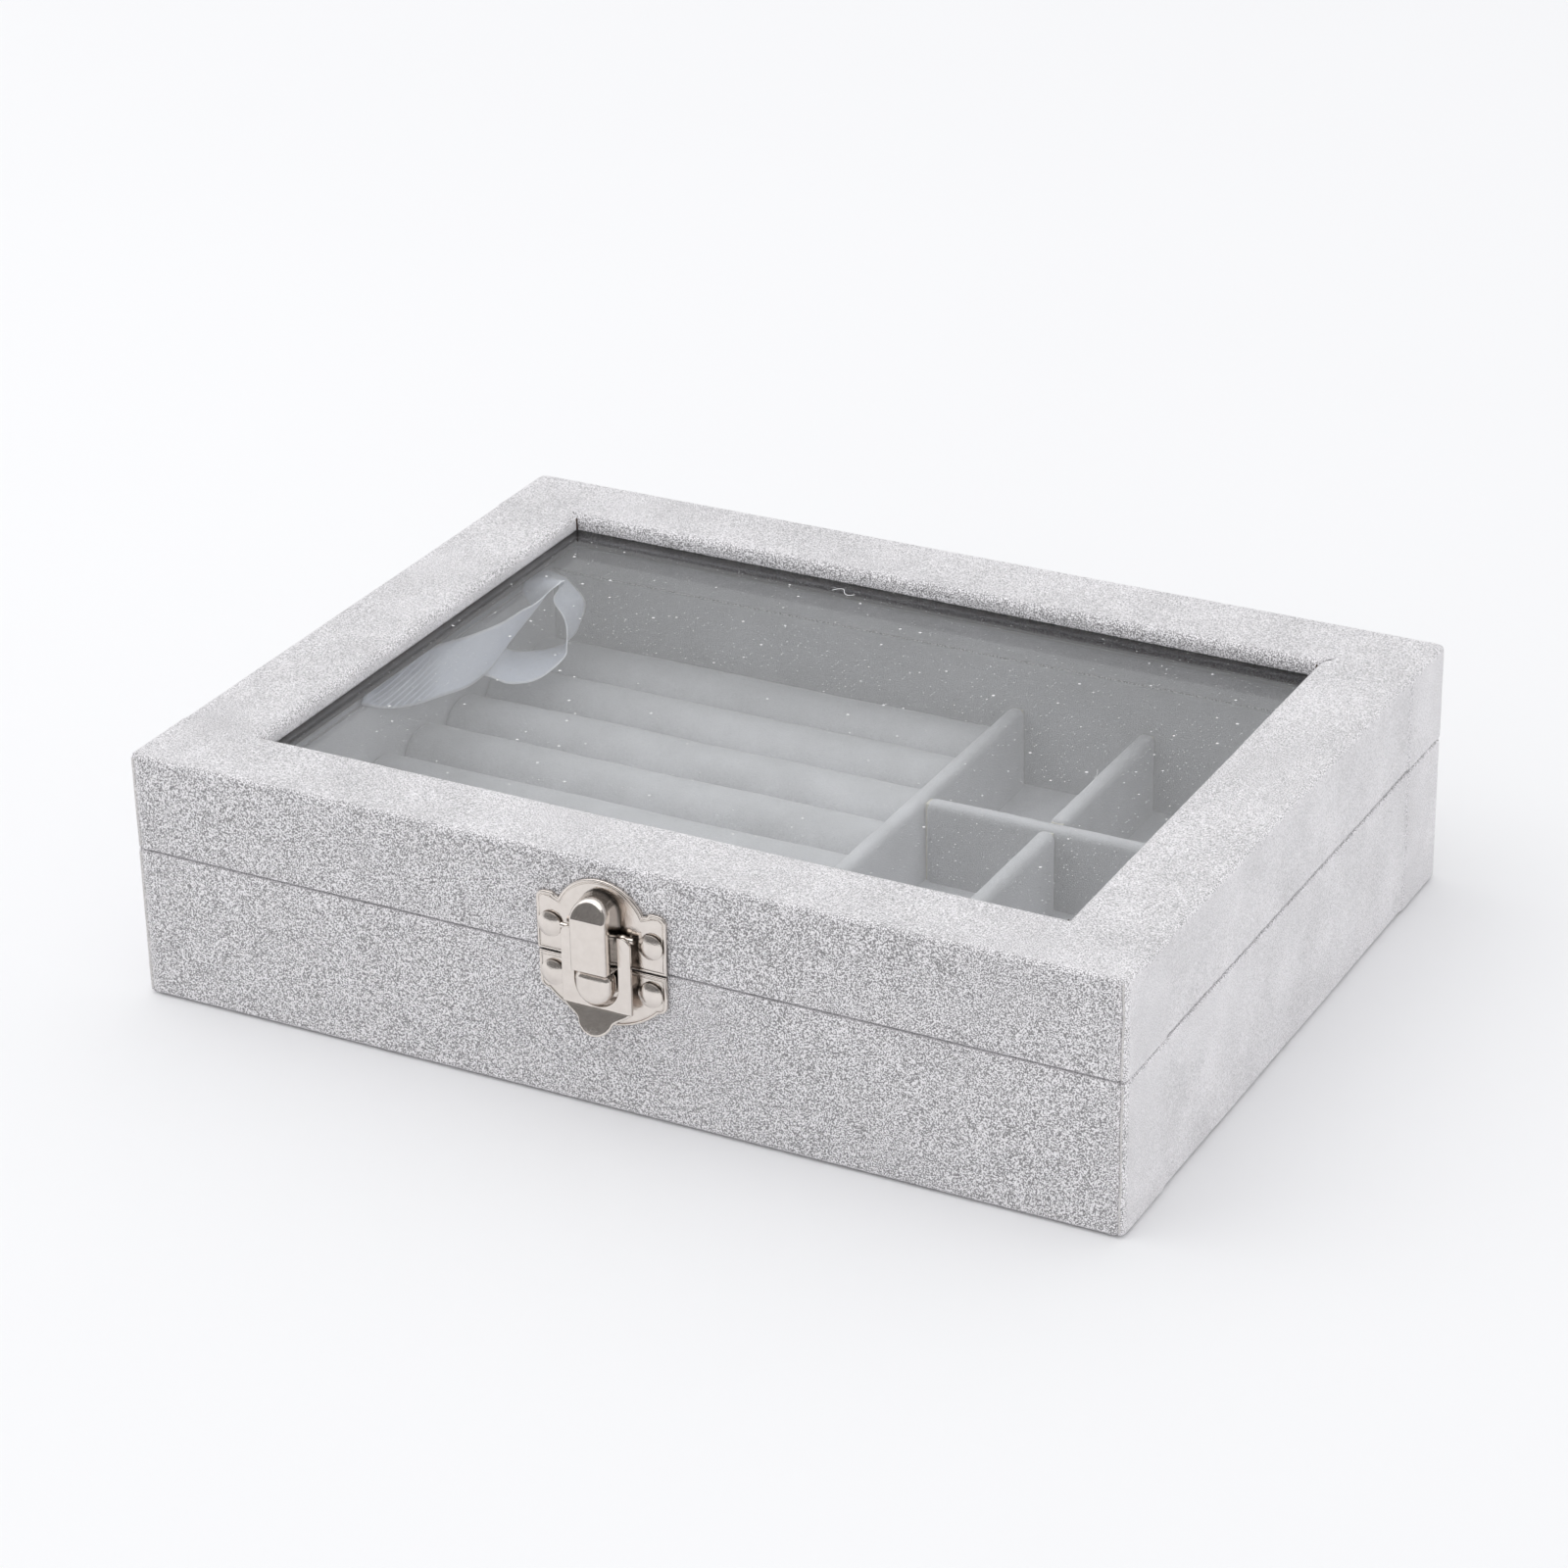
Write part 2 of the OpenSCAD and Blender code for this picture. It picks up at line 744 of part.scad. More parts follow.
module hinge_base_leaves() {
    color(nickel) difference() {
        for (h = [-1, 1]) translate([h * hinge_x, 0, 0])
            leaf(-1, [[-hinge_w / 2, knuckle_w - hinge_w / 2],
                      [hinge_w / 2 - knuckle_w, hinge_w / 2]], pin_hold);
        base_holes();
    }
}

module hinge_lid_leaves() {
    color(nickel) difference() {
        for (h = [-1, 1]) translate([h * hinge_x, 0, 0])
            leaf(1, [[-knuckle_w / 2, knuckle_w / 2]], pin_run);
        lid_holes();
    }
}

module hinge_pins() {
    color(nickel) for (h = [-1, 1]) translate([h * hinge_x, 0, 0])
        hinge_axis_cylinder(hinge_pin_r, -hinge_w / 2, hinge_w / 2);
}

module leaf_nails(z) {
    color(nickel) on_back() at_leaf_nails(z)
        nail(leaf_nail_head_r, leaf_nail_head_h, leaf_nail_head_h / 2, leaf_nail_r,
             leaf_nail_len, leaf_t);
}

module hinge_base_nails() {
    leaf_nails(base_leaf_nail_z);
}

module hinge_lid_nails() {
    leaf_nails(lid_leaf_nail_z);
}

// ---- lid ----

// Velvet over the lid's top and walls, round its rim and down the window's edges
module lid_cover() {
    color(velvet) difference() {
        union() {
            difference() {
                box_prism(0, lid_rim_z, top_z);
                box_prism(cover_t, lid_board_z, frame_top);
            }
            block_about_z(window_x + cover_t, window_y + cover_t, glass_top, frame_top + eps);
        }
        block_about_z(window_x, window_y, glass_top - eps, top_z + eps);
        block_about_z(inner_x + lining_t, inner_y + lining_t, lid_rim_z - eps, lid_board_z + eps);
        lid_holes();
    }
}

module lid_frame_board() {
    color(board) difference() {
        box_prism(cover_t, glass_top, frame_top);
        block_about_z(window_x + cover_t, window_y + cover_t, glass_top - eps, frame_top + eps);
    }
}

module lid_front_board() {
    color(board) difference() {
        end_board(-1, lid_board_z, glass_top);
        lid_holes();
    }
}

module lid_back_board() {
    color(board) difference() {
        end_board(1, lid_board_z, glass_top);
        lid_holes();
    }
}

module lid_left_board() {
    color(board) side_board(-1, lid_board_z, glass_top);
}

module lid_right_board() {
    color(board) side_board(1, lid_board_z, glass_top);
}

module glass_pane() {
    color([0.85, 0.92, 0.95, 0.3])
        block_about_z(window_x + glass_lap, window_y + glass_lap, glass_z, glass_top);
}

// Four strips under the frame, rebated round the edge of the glass
module glass_retainer() {
    pocket_x = window_x + glass_lap + glass_fit;
    pocket_y = window_y + glass_lap + glass_fit;
    hole_x = window_x + cover_t;
    hole_y = window_y + cover_t;
    color(card) difference() {
        for (s = [-1, 1]) {
            span([-inner_x - lining_t, min(s * hole_y, s * (inner_y + lining_t)), retainer_z],
                 [inner_x + lining_t, max(s * hole_y, s * (inner_y + lining_t)), glass_top]);
            span([min(s * hole_x, s * (inner_x + lining_t)), strip_gap - hole_y, retainer_z],
                 [max(s * hole_x, s * (inner_x + lining_t)), hole_y - strip_gap, glass_top]);
        }
        block_about_z(pocket_x, pocket_y, glass_z, glass_top + eps);
    }
}

module lid_lining() {
    color(velvet_inside) lining_strips(lid_rim_z, retainer_z);
}

// ---- ribbon lid stay ----

// The two edges of the ribbon, from its glued end in the lid to its glued end in the base,
// as distances from the left lining, the back lining and the base's rim
ribbon_upper = [
    [0.5, -69, 9.5], [1.5, -63, 7.5], [3.5, -56, 5.5], [4, -50, 4.5], [4.5, -40.5, 2.5],
    [5, -31, 1], [6, -23.5, 1.5], [7.5, -18.5, 2], [9, -14.5, 2.5], [10, -13.5, 4],
    [10, -12, 3.5], [8.5, -12, 2], [7, -13, 0], [9, -12.5, -3], [11, -14, -6.5],
    [10, -14.5, -9.5], [8, -22, -8], [5, -27.5, -6], [2, -31, -5], [0.5, -38, -2], [0.4, -46, -1]
];
ribbon_lower = [
    [0.5, -76, 1], [2, -69, -2.5], [3.5, -62, -4.5], [6, -55, -6], [6.5, -45.5, -7],
    [7.5, -39, -5], [7.5, -33, -3.5], [8, -29, -1], [7, -25, 4.5], [7, -23, 8.5],
    [10, -20.5, 10], [14.5, -19, 8.5], [17, -16.5, 3], [17.5, -18.5, 0.5], [18, -21.5, -2],
    [16, -24, -7.5], [14, -31, -9.5], [10.5, -36.5, -9], [6, -39.5, -8], [2, -45, -10.5],
    [0.4, -50, -11.5]
];
ribbon_steps = 3;

// A smooth curve through the points p, at station i and share t of the way to the next
function curve_at(p, i, t) =
    let (a = p[max(i - 1, 0)], b = p[i], c = p[i + 1], d = p[min(i + 2, len(p) - 1)])
    b + t * (c - a) / 2 + t * t * (2 * a - 5 * b + 4 * c - d) / 2
      + t * t * t * (3 * b - a - 3 * c + d) / 2;

function smooth(p) = concat(
    [for (i = [0:len(p) - 2], k = [0:ribbon_steps - 1]) curve_at(p, i, k / ribbon_steps)],
    [p[len(p) - 1]]);

module lid_ribbon() {
    a = smooth(ribbon_upper);
    b = smooth(ribbon_lower);
    n = len(a);
    mid = (a + b) / 2;
    normal = [for (i = [0:n - 1])
        let (v = cross(mid[min(i + 1, n - 1)] - mid[max(i - 1, 0)], b[i] - a[i])) v / norm(v)];
    half = ribbon_t / 2;
    points = [for (i = [0:n - 1]) each [a[i] + half * normal[i], b[i] + half * normal[i],
                                        b[i] - half * normal[i], a[i] - half * normal[i]]];
    skin = [for (i = [0:n - 2], k = [0:3])
        let (p = 4 * i + k, q = 4 * i + (k + 1) % 4) each [[p, p + 4, q], [q, p + 4, q + 4]]];
    ends = [[0, 1, 2], [0, 2, 3],
            [4 * n - 2, 4 * n - 3, 4 * n - 4], [4 * n - 1, 4 * n - 2, 4 * n - 4]];
    color([0.80, 0.84, 0.90]) translate([-inner_x, inner_y, base_h])
        polyhedron(points, concat(skin, ends));
}

base_cover();
base_bottom_board();
base_front_board();
base_back_board();
base_left_board();
base_right_board();
base_lining();
floor_lining();
underside_sheet();
roll_card();
ring_roll(1);  // ring_roll_1
ring_roll(2);  // ring_roll_2
ring_roll(3);  // ring_roll_3
ring_roll(4);  // ring_roll_4
ring_roll(5);  // ring_roll_5
ring_roll(6);  // ring_roll_6
ring_roll(7);  // ring_roll_7
ring_roll(8);  // ring_roll_8
ring_roll(9);  // ring_roll_9
long_divider_card();
long_divider_cover();
column_divider_card(1);  // column_divider_1_card
column_divider_cover(1);  // column_divider_1_cover
column_divider_card(2);  // column_divider_2_card
column_divider_cover(2);  // column_divider_2_cover
row_divider_card(1);  // row_divider_1_card
row_divider_cover(1);  // row_divider_1_cover
row_divider_card(2);  // row_divider_2_card
row_divider_cover(2);  // row_divider_2_cover
latch_lower_plate();
latch_lower_nails();
hinge_base_leaves();
hinge_base_nails();
hinge_pins();
lid_cover();
lid_frame_board();
lid_front_board();
lid_back_board();
lid_left_board();
lid_right_board();
glass_pane();
glass_retainer();
lid_lining();
latch_upper_plate();
latch_catch_block();
latch_upper_nails();
hinge_lid_leaves();
hinge_lid_nails();
latch_flap();
latch_pin();
lid_ribbon();
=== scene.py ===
import math

import bmesh
import bpy
import numpy as np
from mathutils import Matrix, Vector, noise


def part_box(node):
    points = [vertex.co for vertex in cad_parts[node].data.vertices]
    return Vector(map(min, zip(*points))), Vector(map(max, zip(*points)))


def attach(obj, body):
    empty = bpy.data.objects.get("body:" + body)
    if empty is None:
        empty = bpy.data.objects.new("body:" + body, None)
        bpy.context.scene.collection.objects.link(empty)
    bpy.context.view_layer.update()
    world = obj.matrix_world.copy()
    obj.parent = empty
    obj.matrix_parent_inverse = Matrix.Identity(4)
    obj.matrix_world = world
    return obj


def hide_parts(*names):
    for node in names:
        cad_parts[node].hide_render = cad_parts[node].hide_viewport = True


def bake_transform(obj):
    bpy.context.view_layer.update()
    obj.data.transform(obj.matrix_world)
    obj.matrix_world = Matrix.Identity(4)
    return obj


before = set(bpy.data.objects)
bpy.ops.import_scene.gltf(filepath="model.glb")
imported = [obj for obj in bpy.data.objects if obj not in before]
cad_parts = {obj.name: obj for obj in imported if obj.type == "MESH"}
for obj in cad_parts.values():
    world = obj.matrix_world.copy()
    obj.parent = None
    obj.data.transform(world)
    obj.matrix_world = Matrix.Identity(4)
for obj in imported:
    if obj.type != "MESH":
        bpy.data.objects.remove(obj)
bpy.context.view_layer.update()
MM = 0.001

# ---- camera ----
# A camera with a long lens stands in front of the box, to its right and above, and leans by
# a degree.
azimuth, elevation, lean = (math.radians(a) for a in (28.274, 26.181, -1.131))
back = Vector(
    (
        math.sin(azimuth) * math.cos(elevation),
        -math.cos(azimuth) * math.cos(elevation),
        math.sin(elevation),
    )
)
level = Vector((0, 0, 1)).cross(back).normalized()
upward = back.cross(level)
across = level * math.cos(lean) + upward * math.sin(lean)
upward = upward * math.cos(lean) - level * math.sin(lean)
stance = Matrix((across, upward, back)).transposed().to_4x4()


def placed(name, data):
    """A new object in the scene."""
    made = bpy.data.objects.new(name, data)
    bpy.context.scene.collection.objects.link(made)
    return made


view = placed("view", bpy.data.cameras.new("view"))
view.data.sensor_width = 36
view.data.lens = 104.59
view.data.clip_start = 0.05
view.matrix_world = Matrix.Translation((0.36329, -0.68234, 0.41208)) @ stance
bpy.context.scene.camera = view
bpy.context.scene.view_settings.view_transform = "Standard"


# ---- table and light ----
# The box stands on a smooth white table in a white room, lit from everywhere and a little
# more from above and the left. Only the camera's side of the room is dark, which polished
# metal shows.
class Wire:
    """An output of a node. Arithmetic on it adds Math nodes."""

    def __init__(self, tree, socket):
        self.tree, self.socket = tree, socket

    def math(self, operation, a, b, clamp=False):
        settings = {"operation": operation, "use_clamp": clamp}
        return self.tree.node("ShaderNodeMath", settings, {0: a, 1: b})

    def __add__(self, other):
        return self.math("ADD", self, other)

    def __radd__(self, other):
        return self.math("ADD", other, self)

    def __sub__(self, other):
        return self.math("SUBTRACT", self, other)

    def __rsub__(self, other):
        return self.math("SUBTRACT", other, self)

    def __mul__(self, other):
        return self.math("MULTIPLY", self, other)

    def __rmul__(self, other):
        return self.math("MULTIPLY", other, self)

    def __pow__(self, other):
        return self.math("POWER", self, other)

    def __gt__(self, other):
        return self.math("GREATER_THAN", self, other)

    def sine(self):
        return self.math("SINE", self, None)

    def held(self):
        """The same value, kept between 0 and 1."""
        return self.math("ADD", self, 0.0, clamp=True)

    def rise(self, low, high):
        """0 below low, 1 above high, with a smooth rise between them."""
        settings = {"interpolation_type": "SMOOTHSTEP"}
        ends = {"Value": self, "From Min": low, "From Max": high}
        return self.tree.node("ShaderNodeMapRange", settings, ends)


class Tree:
    """A node tree: every node of it comes from one method."""

    def __init__(self, tree):
        self.tree = tree

    def node(self, kind, settings=None, inputs=None, output=0):
        made = self.tree.nodes.new(kind)
        for name, value in (settings or {}).items():
            setattr(made, name, value)
        for name, value in (inputs or {}).items():
            if isinstance(value, Wire):
                self.tree.links.new(value.socket, made.inputs[name])
            elif value is not None:
                made.inputs[name].default_value = value
        return Wire(self, made.outputs[output]) if made.outputs else made

    def mixed(self, mask, a, b):
        """Colour a where the mask is 0 and b where it is 1."""
        return self.node("ShaderNodeMix", {"data_type": "RGBA"}, {0: mask, 6: a, 7: b}, 2)

    def tinted(self, a, b):
        """Two colours multiplied."""
        settings = {"data_type": "RGBA", "blend_type": "MULTIPLY"}
        return self.node("ShaderNodeMix", settings, {0: 1.0, 6: a, 7: b}, 2)

    def scaled(self, colour, by):
        """A colour made lighter or darker by a value."""
        settings = {"operation": "SCALE"}
        return self.node("ShaderNodeVectorMath", settings, {0: colour, "Scale": by})


class Finish(Tree):
    """A material on one Principled shader, whose plain values are given by name."""

    def __init__(self, name, **plain):
        self.material = bpy.data.materials.new(name)
        self.material.use_nodes = True
        super().__init__(self.material.node_tree)
        self.shader = self.tree.nodes["Principled BSDF"]
        for socket, value in plain.items():
            self.shader.inputs[socket.replace("_", " ")].default_value = value

    def feed(self, **wires):
        for socket, wire in wires.items():
            self.tree.links.new(wire.socket, self.shader.inputs[socket.replace("_", " ")])
        return self

    def place(self):
        """Where a point is on its own piece, in metres."""
        return self.node("ShaderNodeTexCoord", output="Object")

    def attribute(self, name):
        """A value that the mesh keeps at each of its points."""
        return self.node("ShaderNodeAttribute", {"attribute_name": name}, output="Fac")

    def grain(self, size, detail=2.0, rough=0.5):
        """Cloudy noise from 0 to 1, whose grains are about this size in metres."""
        values = {"Vector": self.place(), "Scale": 1 / size}
        values.update({"Detail": detail, "Roughness": rough})
        return self.node("ShaderNodeTexNoise", {}, values)

    def bumped(self, height, distance, strength=1.0):
        values = {"Height": height, "Distance": distance, "Strength": strength}
        return self.feed(Normal=self.node("ShaderNodeBump", {}, values))


def grey(red, green=None, blue=None):
    """A colour from its written values, 0 to 255."""
    levels = [v / 255 for v in (red, green or red, blue or red)]
    return [v / 12.92 if v <= 0.04045 else ((v + 0.055) / 1.055) ** 2.4 for v in levels] + [1]


room = bpy.data.worlds.new("room")
bpy.context.scene.world = room
room.use_nodes = True
walls = Tree(room.node_tree)
ray = walls.node("ShaderNodeLightPath")
seen = {
    s: Wire(walls, ray.socket.node.outputs[s])
    for s in ("Is Camera Ray", "Is Glossy Ray", "Is Transmission Ray")
}
sight = walls.node("ShaderNodeTexCoord", output="Generated")


def toward(x, y, z):
    """How far the room is looked at in one direction."""
    aim = Vector((x, y, z)).normalized()
    turn = {"operation": "DOT_PRODUCT"}
    return walls.node("ShaderNodeVectorMath", turn, {0: sight, 1: aim}, "Value")


glow = 0.83 + 0.40 * toward(-0.12, 0.0, 0.99).held() ** 3
lit = walls.scaled((0.985, 0.99, 1.0), glow)
to_front = toward(math.sin(azimuth), -math.cos(azimuth), 0).rise(0.0, 0.3)
height = toward(0, 0, 1)
dark_side = to_front * height.rise(-0.03, 0.05) * (1 - height.rise(0.76, 0.84))
ceiling = height.rise(0.78, 0.88)
clutter = walls.node("ShaderNodeTexNoise", {}, {"Vector": sight, "Scale": 7.0})
shelves = walls.mixed(clutter.rise(0.35, 0.65), grey(100, 100, 102), grey(152, 151, 150))
mirrored = walls.mixed(dark_side, grey(252, 253, 255), shelves)
mirrored = walls.mixed(ceiling, mirrored, (1.5, 1.5, 1.5, 1))
shown = walls.mixed(seen["Is Camera Ray"], lit, grey(251, 251, 252))
shown = walls.mixed(seen["Is Glossy Ray"], shown, mirrored)
shown = walls.mixed(seen["Is Transmission Ray"], shown, grey(251, 251, 252))
walls.tree.links.new(shown.socket, walls.tree.nodes["Background"].inputs["Color"])

lamp = placed("soft_lamp", bpy.data.lights.new("soft_lamp", "AREA"))
lamp.data.shape = "DISK"
lamp.data.size = 1.4
lamp.data.energy = 3.0
lamp.location = (-0.7, -0.3, 1.2)
lamp.rotation_euler = (-lamp.location).to_track_quat("-Z", "Y").to_euler()

table_top = Finish("table_top", Roughness=0.9, Specular_IOR_Level=0.1)
cloud = table_top.grain(0.3, detail=3)
table_top.feed(Base_Color=table_top.mixed(cloud, grey(241, 241, 242), grey(244, 244, 245)))
plain = bmesh.new()
bmesh.ops.create_grid(plain, x_segments=24, y_segments=24, size=3.0)
table_mesh = bpy.data.meshes.new("table")
plain.to_mesh(table_mesh)
plain.free()
table_mesh.materials.append(table_top.material)
placed("table", table_mesh)


# ---- velvet round the base ----
# Light grey short-pile velvet on paper, glued round the base's boards, turned over the rim
# and under the bottom. The side pieces lie over flaps of the long ones, and their raw cut
# edges run up the corners.
BOX_X, BOX_Y = 100, 75
HALF_X, HALF_Y = BOX_X * MM, BOX_Y * MM
CORNER_R = 1.8 * MM
FLAP_W = 17 * MM


def velvet(name, tone, sparkle, depth, sheen, painted_light_sides, on_top):
    """Short-pile velvet: dark between the fibres and bright on their tips, with brushed
    clouds. Its nap lies smoother on the sides and the top than on the front, and painted
    light makes it paler there."""
    soft = {"Sheen_Weight": sheen, "Sheen_Roughness": 0.45, "Sheen_Tint": (1, 1, 1, 1)}
    pile = Finish(name, Roughness=0.95, Specular_IOR_Level=0.1, **soft)
    lie = pile.node("ShaderNodeTexCoord", output="Normal")
    split = pile.node("ShaderNodeSeparateXYZ", {}, {"Vector": lie}).socket.node
    side, top = (Wire(pile, split.outputs[k]) ** 2.0 for k in ("X", "Z"))
    smooth = sparkle * (1 - 0.89 * side) * (1 - 0.76 * top)
    fine = pile.grain(0.00024, detail=1.5, rough=0.6)
    tufts = pile.grain(0.0007, detail=2)
    brushed = pile.grain(0.016, detail=3, rough=0.6)
    tips = 0.5 + smooth * (fine - 0.5) + 0.14 * smooth * (tufts - 0.5) + 0.45 * (brushed - 0.5)
    dark = [v * 0.42 for v in tone[:3]] + [1]
    light = [min(v * 1.58, 0.98) for v in tone[:3]] + [1]
    colour = pile.mixed(tips.held(), dark, light)
    hue = pile.mixed(pile.grain(0.006), (1.0, 0.995, 0.995, 1), (0.99, 0.993, 1.0, 1))
    colour = pile.tinted(colour, hue)
    # Painted light: faces turned sideways or up are painted paler, by on_top and the sides' amount.
    painted_light_scale = 1 + painted_light_sides * side + on_top * top
    pile.colour = pile.scaled(colour, painted_light_scale)
    pile.bumped(fine + 0.3 * tufts, depth)
    return pile.feed(Base_Color=pile.colour)


# The cover is painted paler on its sides and top, as painted light.
# Where the outside velvet is cut, the raw edge of its paper backing is paler.
cover_nap_and_painted_light = {"sparkle": 12.0, "depth": 0.00026, "sheen": 0.8, "painted_light_sides": 0.40, "on_top": 0.20}
cover_finish = velvet("velvet_cover", grey(204, 202, 204), **cover_nap_and_painted_light)
raw_edge = cover_finish.attribute("raw_edge")
edged = cover_finish.mixed(raw_edge, cover_finish.colour, grey(224, 221, 219))
cover_finish.feed(Base_Color=edged)


def wobble(at, size, seed=0.0):
    """Smooth unevenness between -1 and 1, whose bumps are about this size."""
    return noise.noise(Vector((at[0] / size + seed, at[1] / size, at[2] / size)))


def eased(t):
    t = np.clip(t, 0, 1)
    return t * t * (3 - 2 * t)


def corner_stations(half_x, half_y, radius):
    """Stations round the box: place, outward direction, and distance from the nearest corner,
    positive on the side walls and negative on the long ones."""
    half_arc = radius * math.pi / 4
    near = np.concatenate([np.arange(0, 0.8, 0.1), np.arange(0.8, 4, 0.4), np.arange(4, 15, 1.3)])
    near = np.concatenate([near, np.arange(15.0, 20, 0.45)]) * MM
    rows = []
    corners = [(1, -1, -90), (1, 1, 0), (-1, 1, 90), (-1, -1, 180)]
    for n, (sx, sy, start) in enumerate(corners):
        centre = np.array([sx * (half_x - radius), sy * (half_y - radius)])
        to_side = 1 if sx * sy < 0 else -1
        for t in np.linspace(0, 1, 25)[:-1]:
            angle = math.radians(start + 90 * t)
            way = np.array([math.cos(angle), math.sin(angle)])
            rows.append([*(centre + radius * way), *way, to_side * (2 * t - 1) * half_arc, n])
        after = corners[(n + 1) % 4]
        goal = np.array([after[0] * (half_x - radius), after[1] * (half_y - radius)])
        way = np.array([math.cos(math.radians(start + 90)), math.sin(math.radians(start + 90))])
        length = np.linalg.norm(goal - centre)
        middle = np.linspace(20 * MM, length - 20 * MM, int((length - 40 * MM) / (1.5 * MM)))
        run = np.concatenate([near, middle, (length - near)[::-1]])
        on_side = 1 if abs(way[0]) > 0.5 else -1
        for t in run:
            place = centre + radius * way + (goal - centre) * t / length
            reach = half_arc + min(t, length - t)
            rows.append([*place, *way, on_side * reach, n if t < length / 2 else (n + 1) % 4])
    return np.array(rows)


def seam_relief(reach, z, corner, seed):
    """How far the velvet stands out near a corner, and how much of its raw edge shows there."""
    cut = -0.25 + 0.22 * wobble((z / MM, corner * 7.1, seed), 5)
    cut += 0.1 * wobble((z / MM, corner, seed), 1.4)
    past = reach / MM - cut
    over = 0.3 * eased(past / 0.15)
    groove = -0.4 * math.exp(-abs(past) / 0.3) if past < 0 else 0.0
    roll = 0.14 * math.exp(-(((past + 1.5) / 0.7) ** 2)) if past < 0 else 0.0
    flap_end = FLAP_W / MM + 0.7 * wobble((z / MM, corner * 3.3, seed + 5), 12)
    step = 0.3 * eased((past - flap_end) / 1.3) - 0.07 * math.exp(-(((past - flap_end) / 0.8) ** 2))
    raw = math.exp(-(((past - 0.12) / 0.12) ** 2))
    return (over + groove + roll - (step if past > 0 else 0) - 0.02) * MM, raw


def velvet_wrap(name, section, outside, stations, inset, seed):
    """Sweeps a closed section round the box. outside is how much each section point takes part
    in the relief of the walls, and inset gives a section point's distances from the outline."""
    section, outside = np.array(section), np.array(outside)
    along = np.roll(section, -1, 0) - np.roll(section, 1, 0)
    along /= np.maximum(np.linalg.norm(along, axis=1, keepdims=True), 1e-9)
    rows, raw = [], []
    for px, py, nx, ny, reach, corner in stations:
        for (d, z), (td, tz), share in zip(section, along, outside):
            dx, dy = inset(d)
            on_arc = abs(nx) > 1e-6 and abs(ny) > 1e-6
            hold = min(d, CORNER_R) if on_arc else d
            x = px - nx * (hold if on_arc else dx)
            y = py - ny * (hold if on_arc else dy)
            if d > CORNER_R:
                x = max(-(HALF_X - dx), min(HALF_X - dx, x))
                y = max(-(HALF_Y - dy), min(HALF_Y - dy, y))
            edge = 0.0
            if share > 0:
                relief, edge = seam_relief(reach, z, corner, seed)
                relief = relief * share if share < 1.5 else 0.0
                edge = edge if share == 1 else 0.0
                uneven = 0.11 * wobble((x, y, z), 28 * MM, seed)
                uneven += 0.035 * wobble((x, y, z), 4 * MM, seed)
                out = relief + min(share, 1) * uneven * MM
                x, y, z = x + nx * tz * out, y + ny * tz * out, z + td * out
            rows.append((x, y, z))
            raw.append(edge)
    count, around = len(section), len(stations)
    faces = [
        (i * count + j, i * count + k, p * count + k, p * count + j)
        for i in range(around)
        for p in [(i + 1) % around]
        for j in range(count)
        for k in [(j + 1) % count]
    ]
    mesh = meshed(name, rows, faces)
    mesh.attributes.new("raw_edge", "FLOAT", "POINT").data.foreach_set("value", raw)
    return settled(name, mesh, cover_finish)


def meshed(name, points, faces):
    mesh = bpy.data.meshes.new(name)
    mesh.from_pydata(points, [], faces)
    return mesh


def settled(name, mesh, finish):
    """Cleans a mesh, turns its faces outwards, and makes it a piece with its finish."""
    shape = bmesh.new()
    shape.from_mesh(mesh)
    bmesh.ops.remove_doubles(shape, verts=shape.verts, dist=2e-6)
    bmesh.ops.dissolve_degenerate(shape, edges=shape.edges, dist=1e-6)
    bmesh.ops.recalc_face_normals(shape, faces=shape.faces)
    for face in shape.faces:
        face.smooth = True
    shape.to_mesh(mesh)
    shape.free()
    mesh.materials.clear()
    mesh.materials.append(finish.material)
    return placed(name, mesh)


def fixed(piece, body, slot, *nodes):
    """Fixes a piece to its body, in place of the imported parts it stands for."""
    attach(piece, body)
    if nodes:
        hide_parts(*nodes)


def quarter(count):
    """The angles of a quarter turn."""
    return np.radians(np.linspace(0, 90, count))


BASE_H, LID_RIM, TOP_Z = 30.3, 30.7, 50.0
HEM_R, HEM_TOP, RIM_R = 0.9, 1.3, 0.5
stations = corner_stations(HALF_X, HALF_Y, CORNER_R)
hem = [(9.0, 0.55), (6.0, 0.45), (3.0, 0.4), (1.6, 0.4)]
wall = [(0.0, z) for z in np.linspace(1.9, 29.2, 30)]
rim = [(1.5, BASE_H), (2.5, BASE_H), (3.3, BASE_H - 0.15)]
inner = [(3.3, 29.6), (0.8, 29.5), (0.8, 14.0), (0.8, 1.3), (9.0, 1.1)]
hem_turn = [(HEM_R - HEM_R * math.sin(a), HEM_TOP - HEM_R * math.cos(a)) for a in quarter(6)]
rim_turn = [
    (RIM_R - RIM_R * math.cos(a), BASE_H - RIM_R + RIM_R * math.sin(a)) for a in quarter(6)
]
base_section = [(d * MM, z * MM) for d, z in hem + hem_turn + wall + rim_turn + rim + inner]
base_share = (
    [0.0, 0.3, 0.3, 0.5]
    + [0.5, 0.6, 0.7, 0.85, 0.95, 1]
    + [1.0] * len(wall)
    + [1, 0.9, 0.8, 0.7, 0.5, 0.4]
    + [0.3, 0.2, 0.0]
    + [0.0] * len(inner)
)
base_velvet = velvet_wrap("base_velvet", base_section, base_share, stations, lambda d: (d, d), 3.0)
fixed(base_velvet, "base", "velvet_cover", "base_cover")

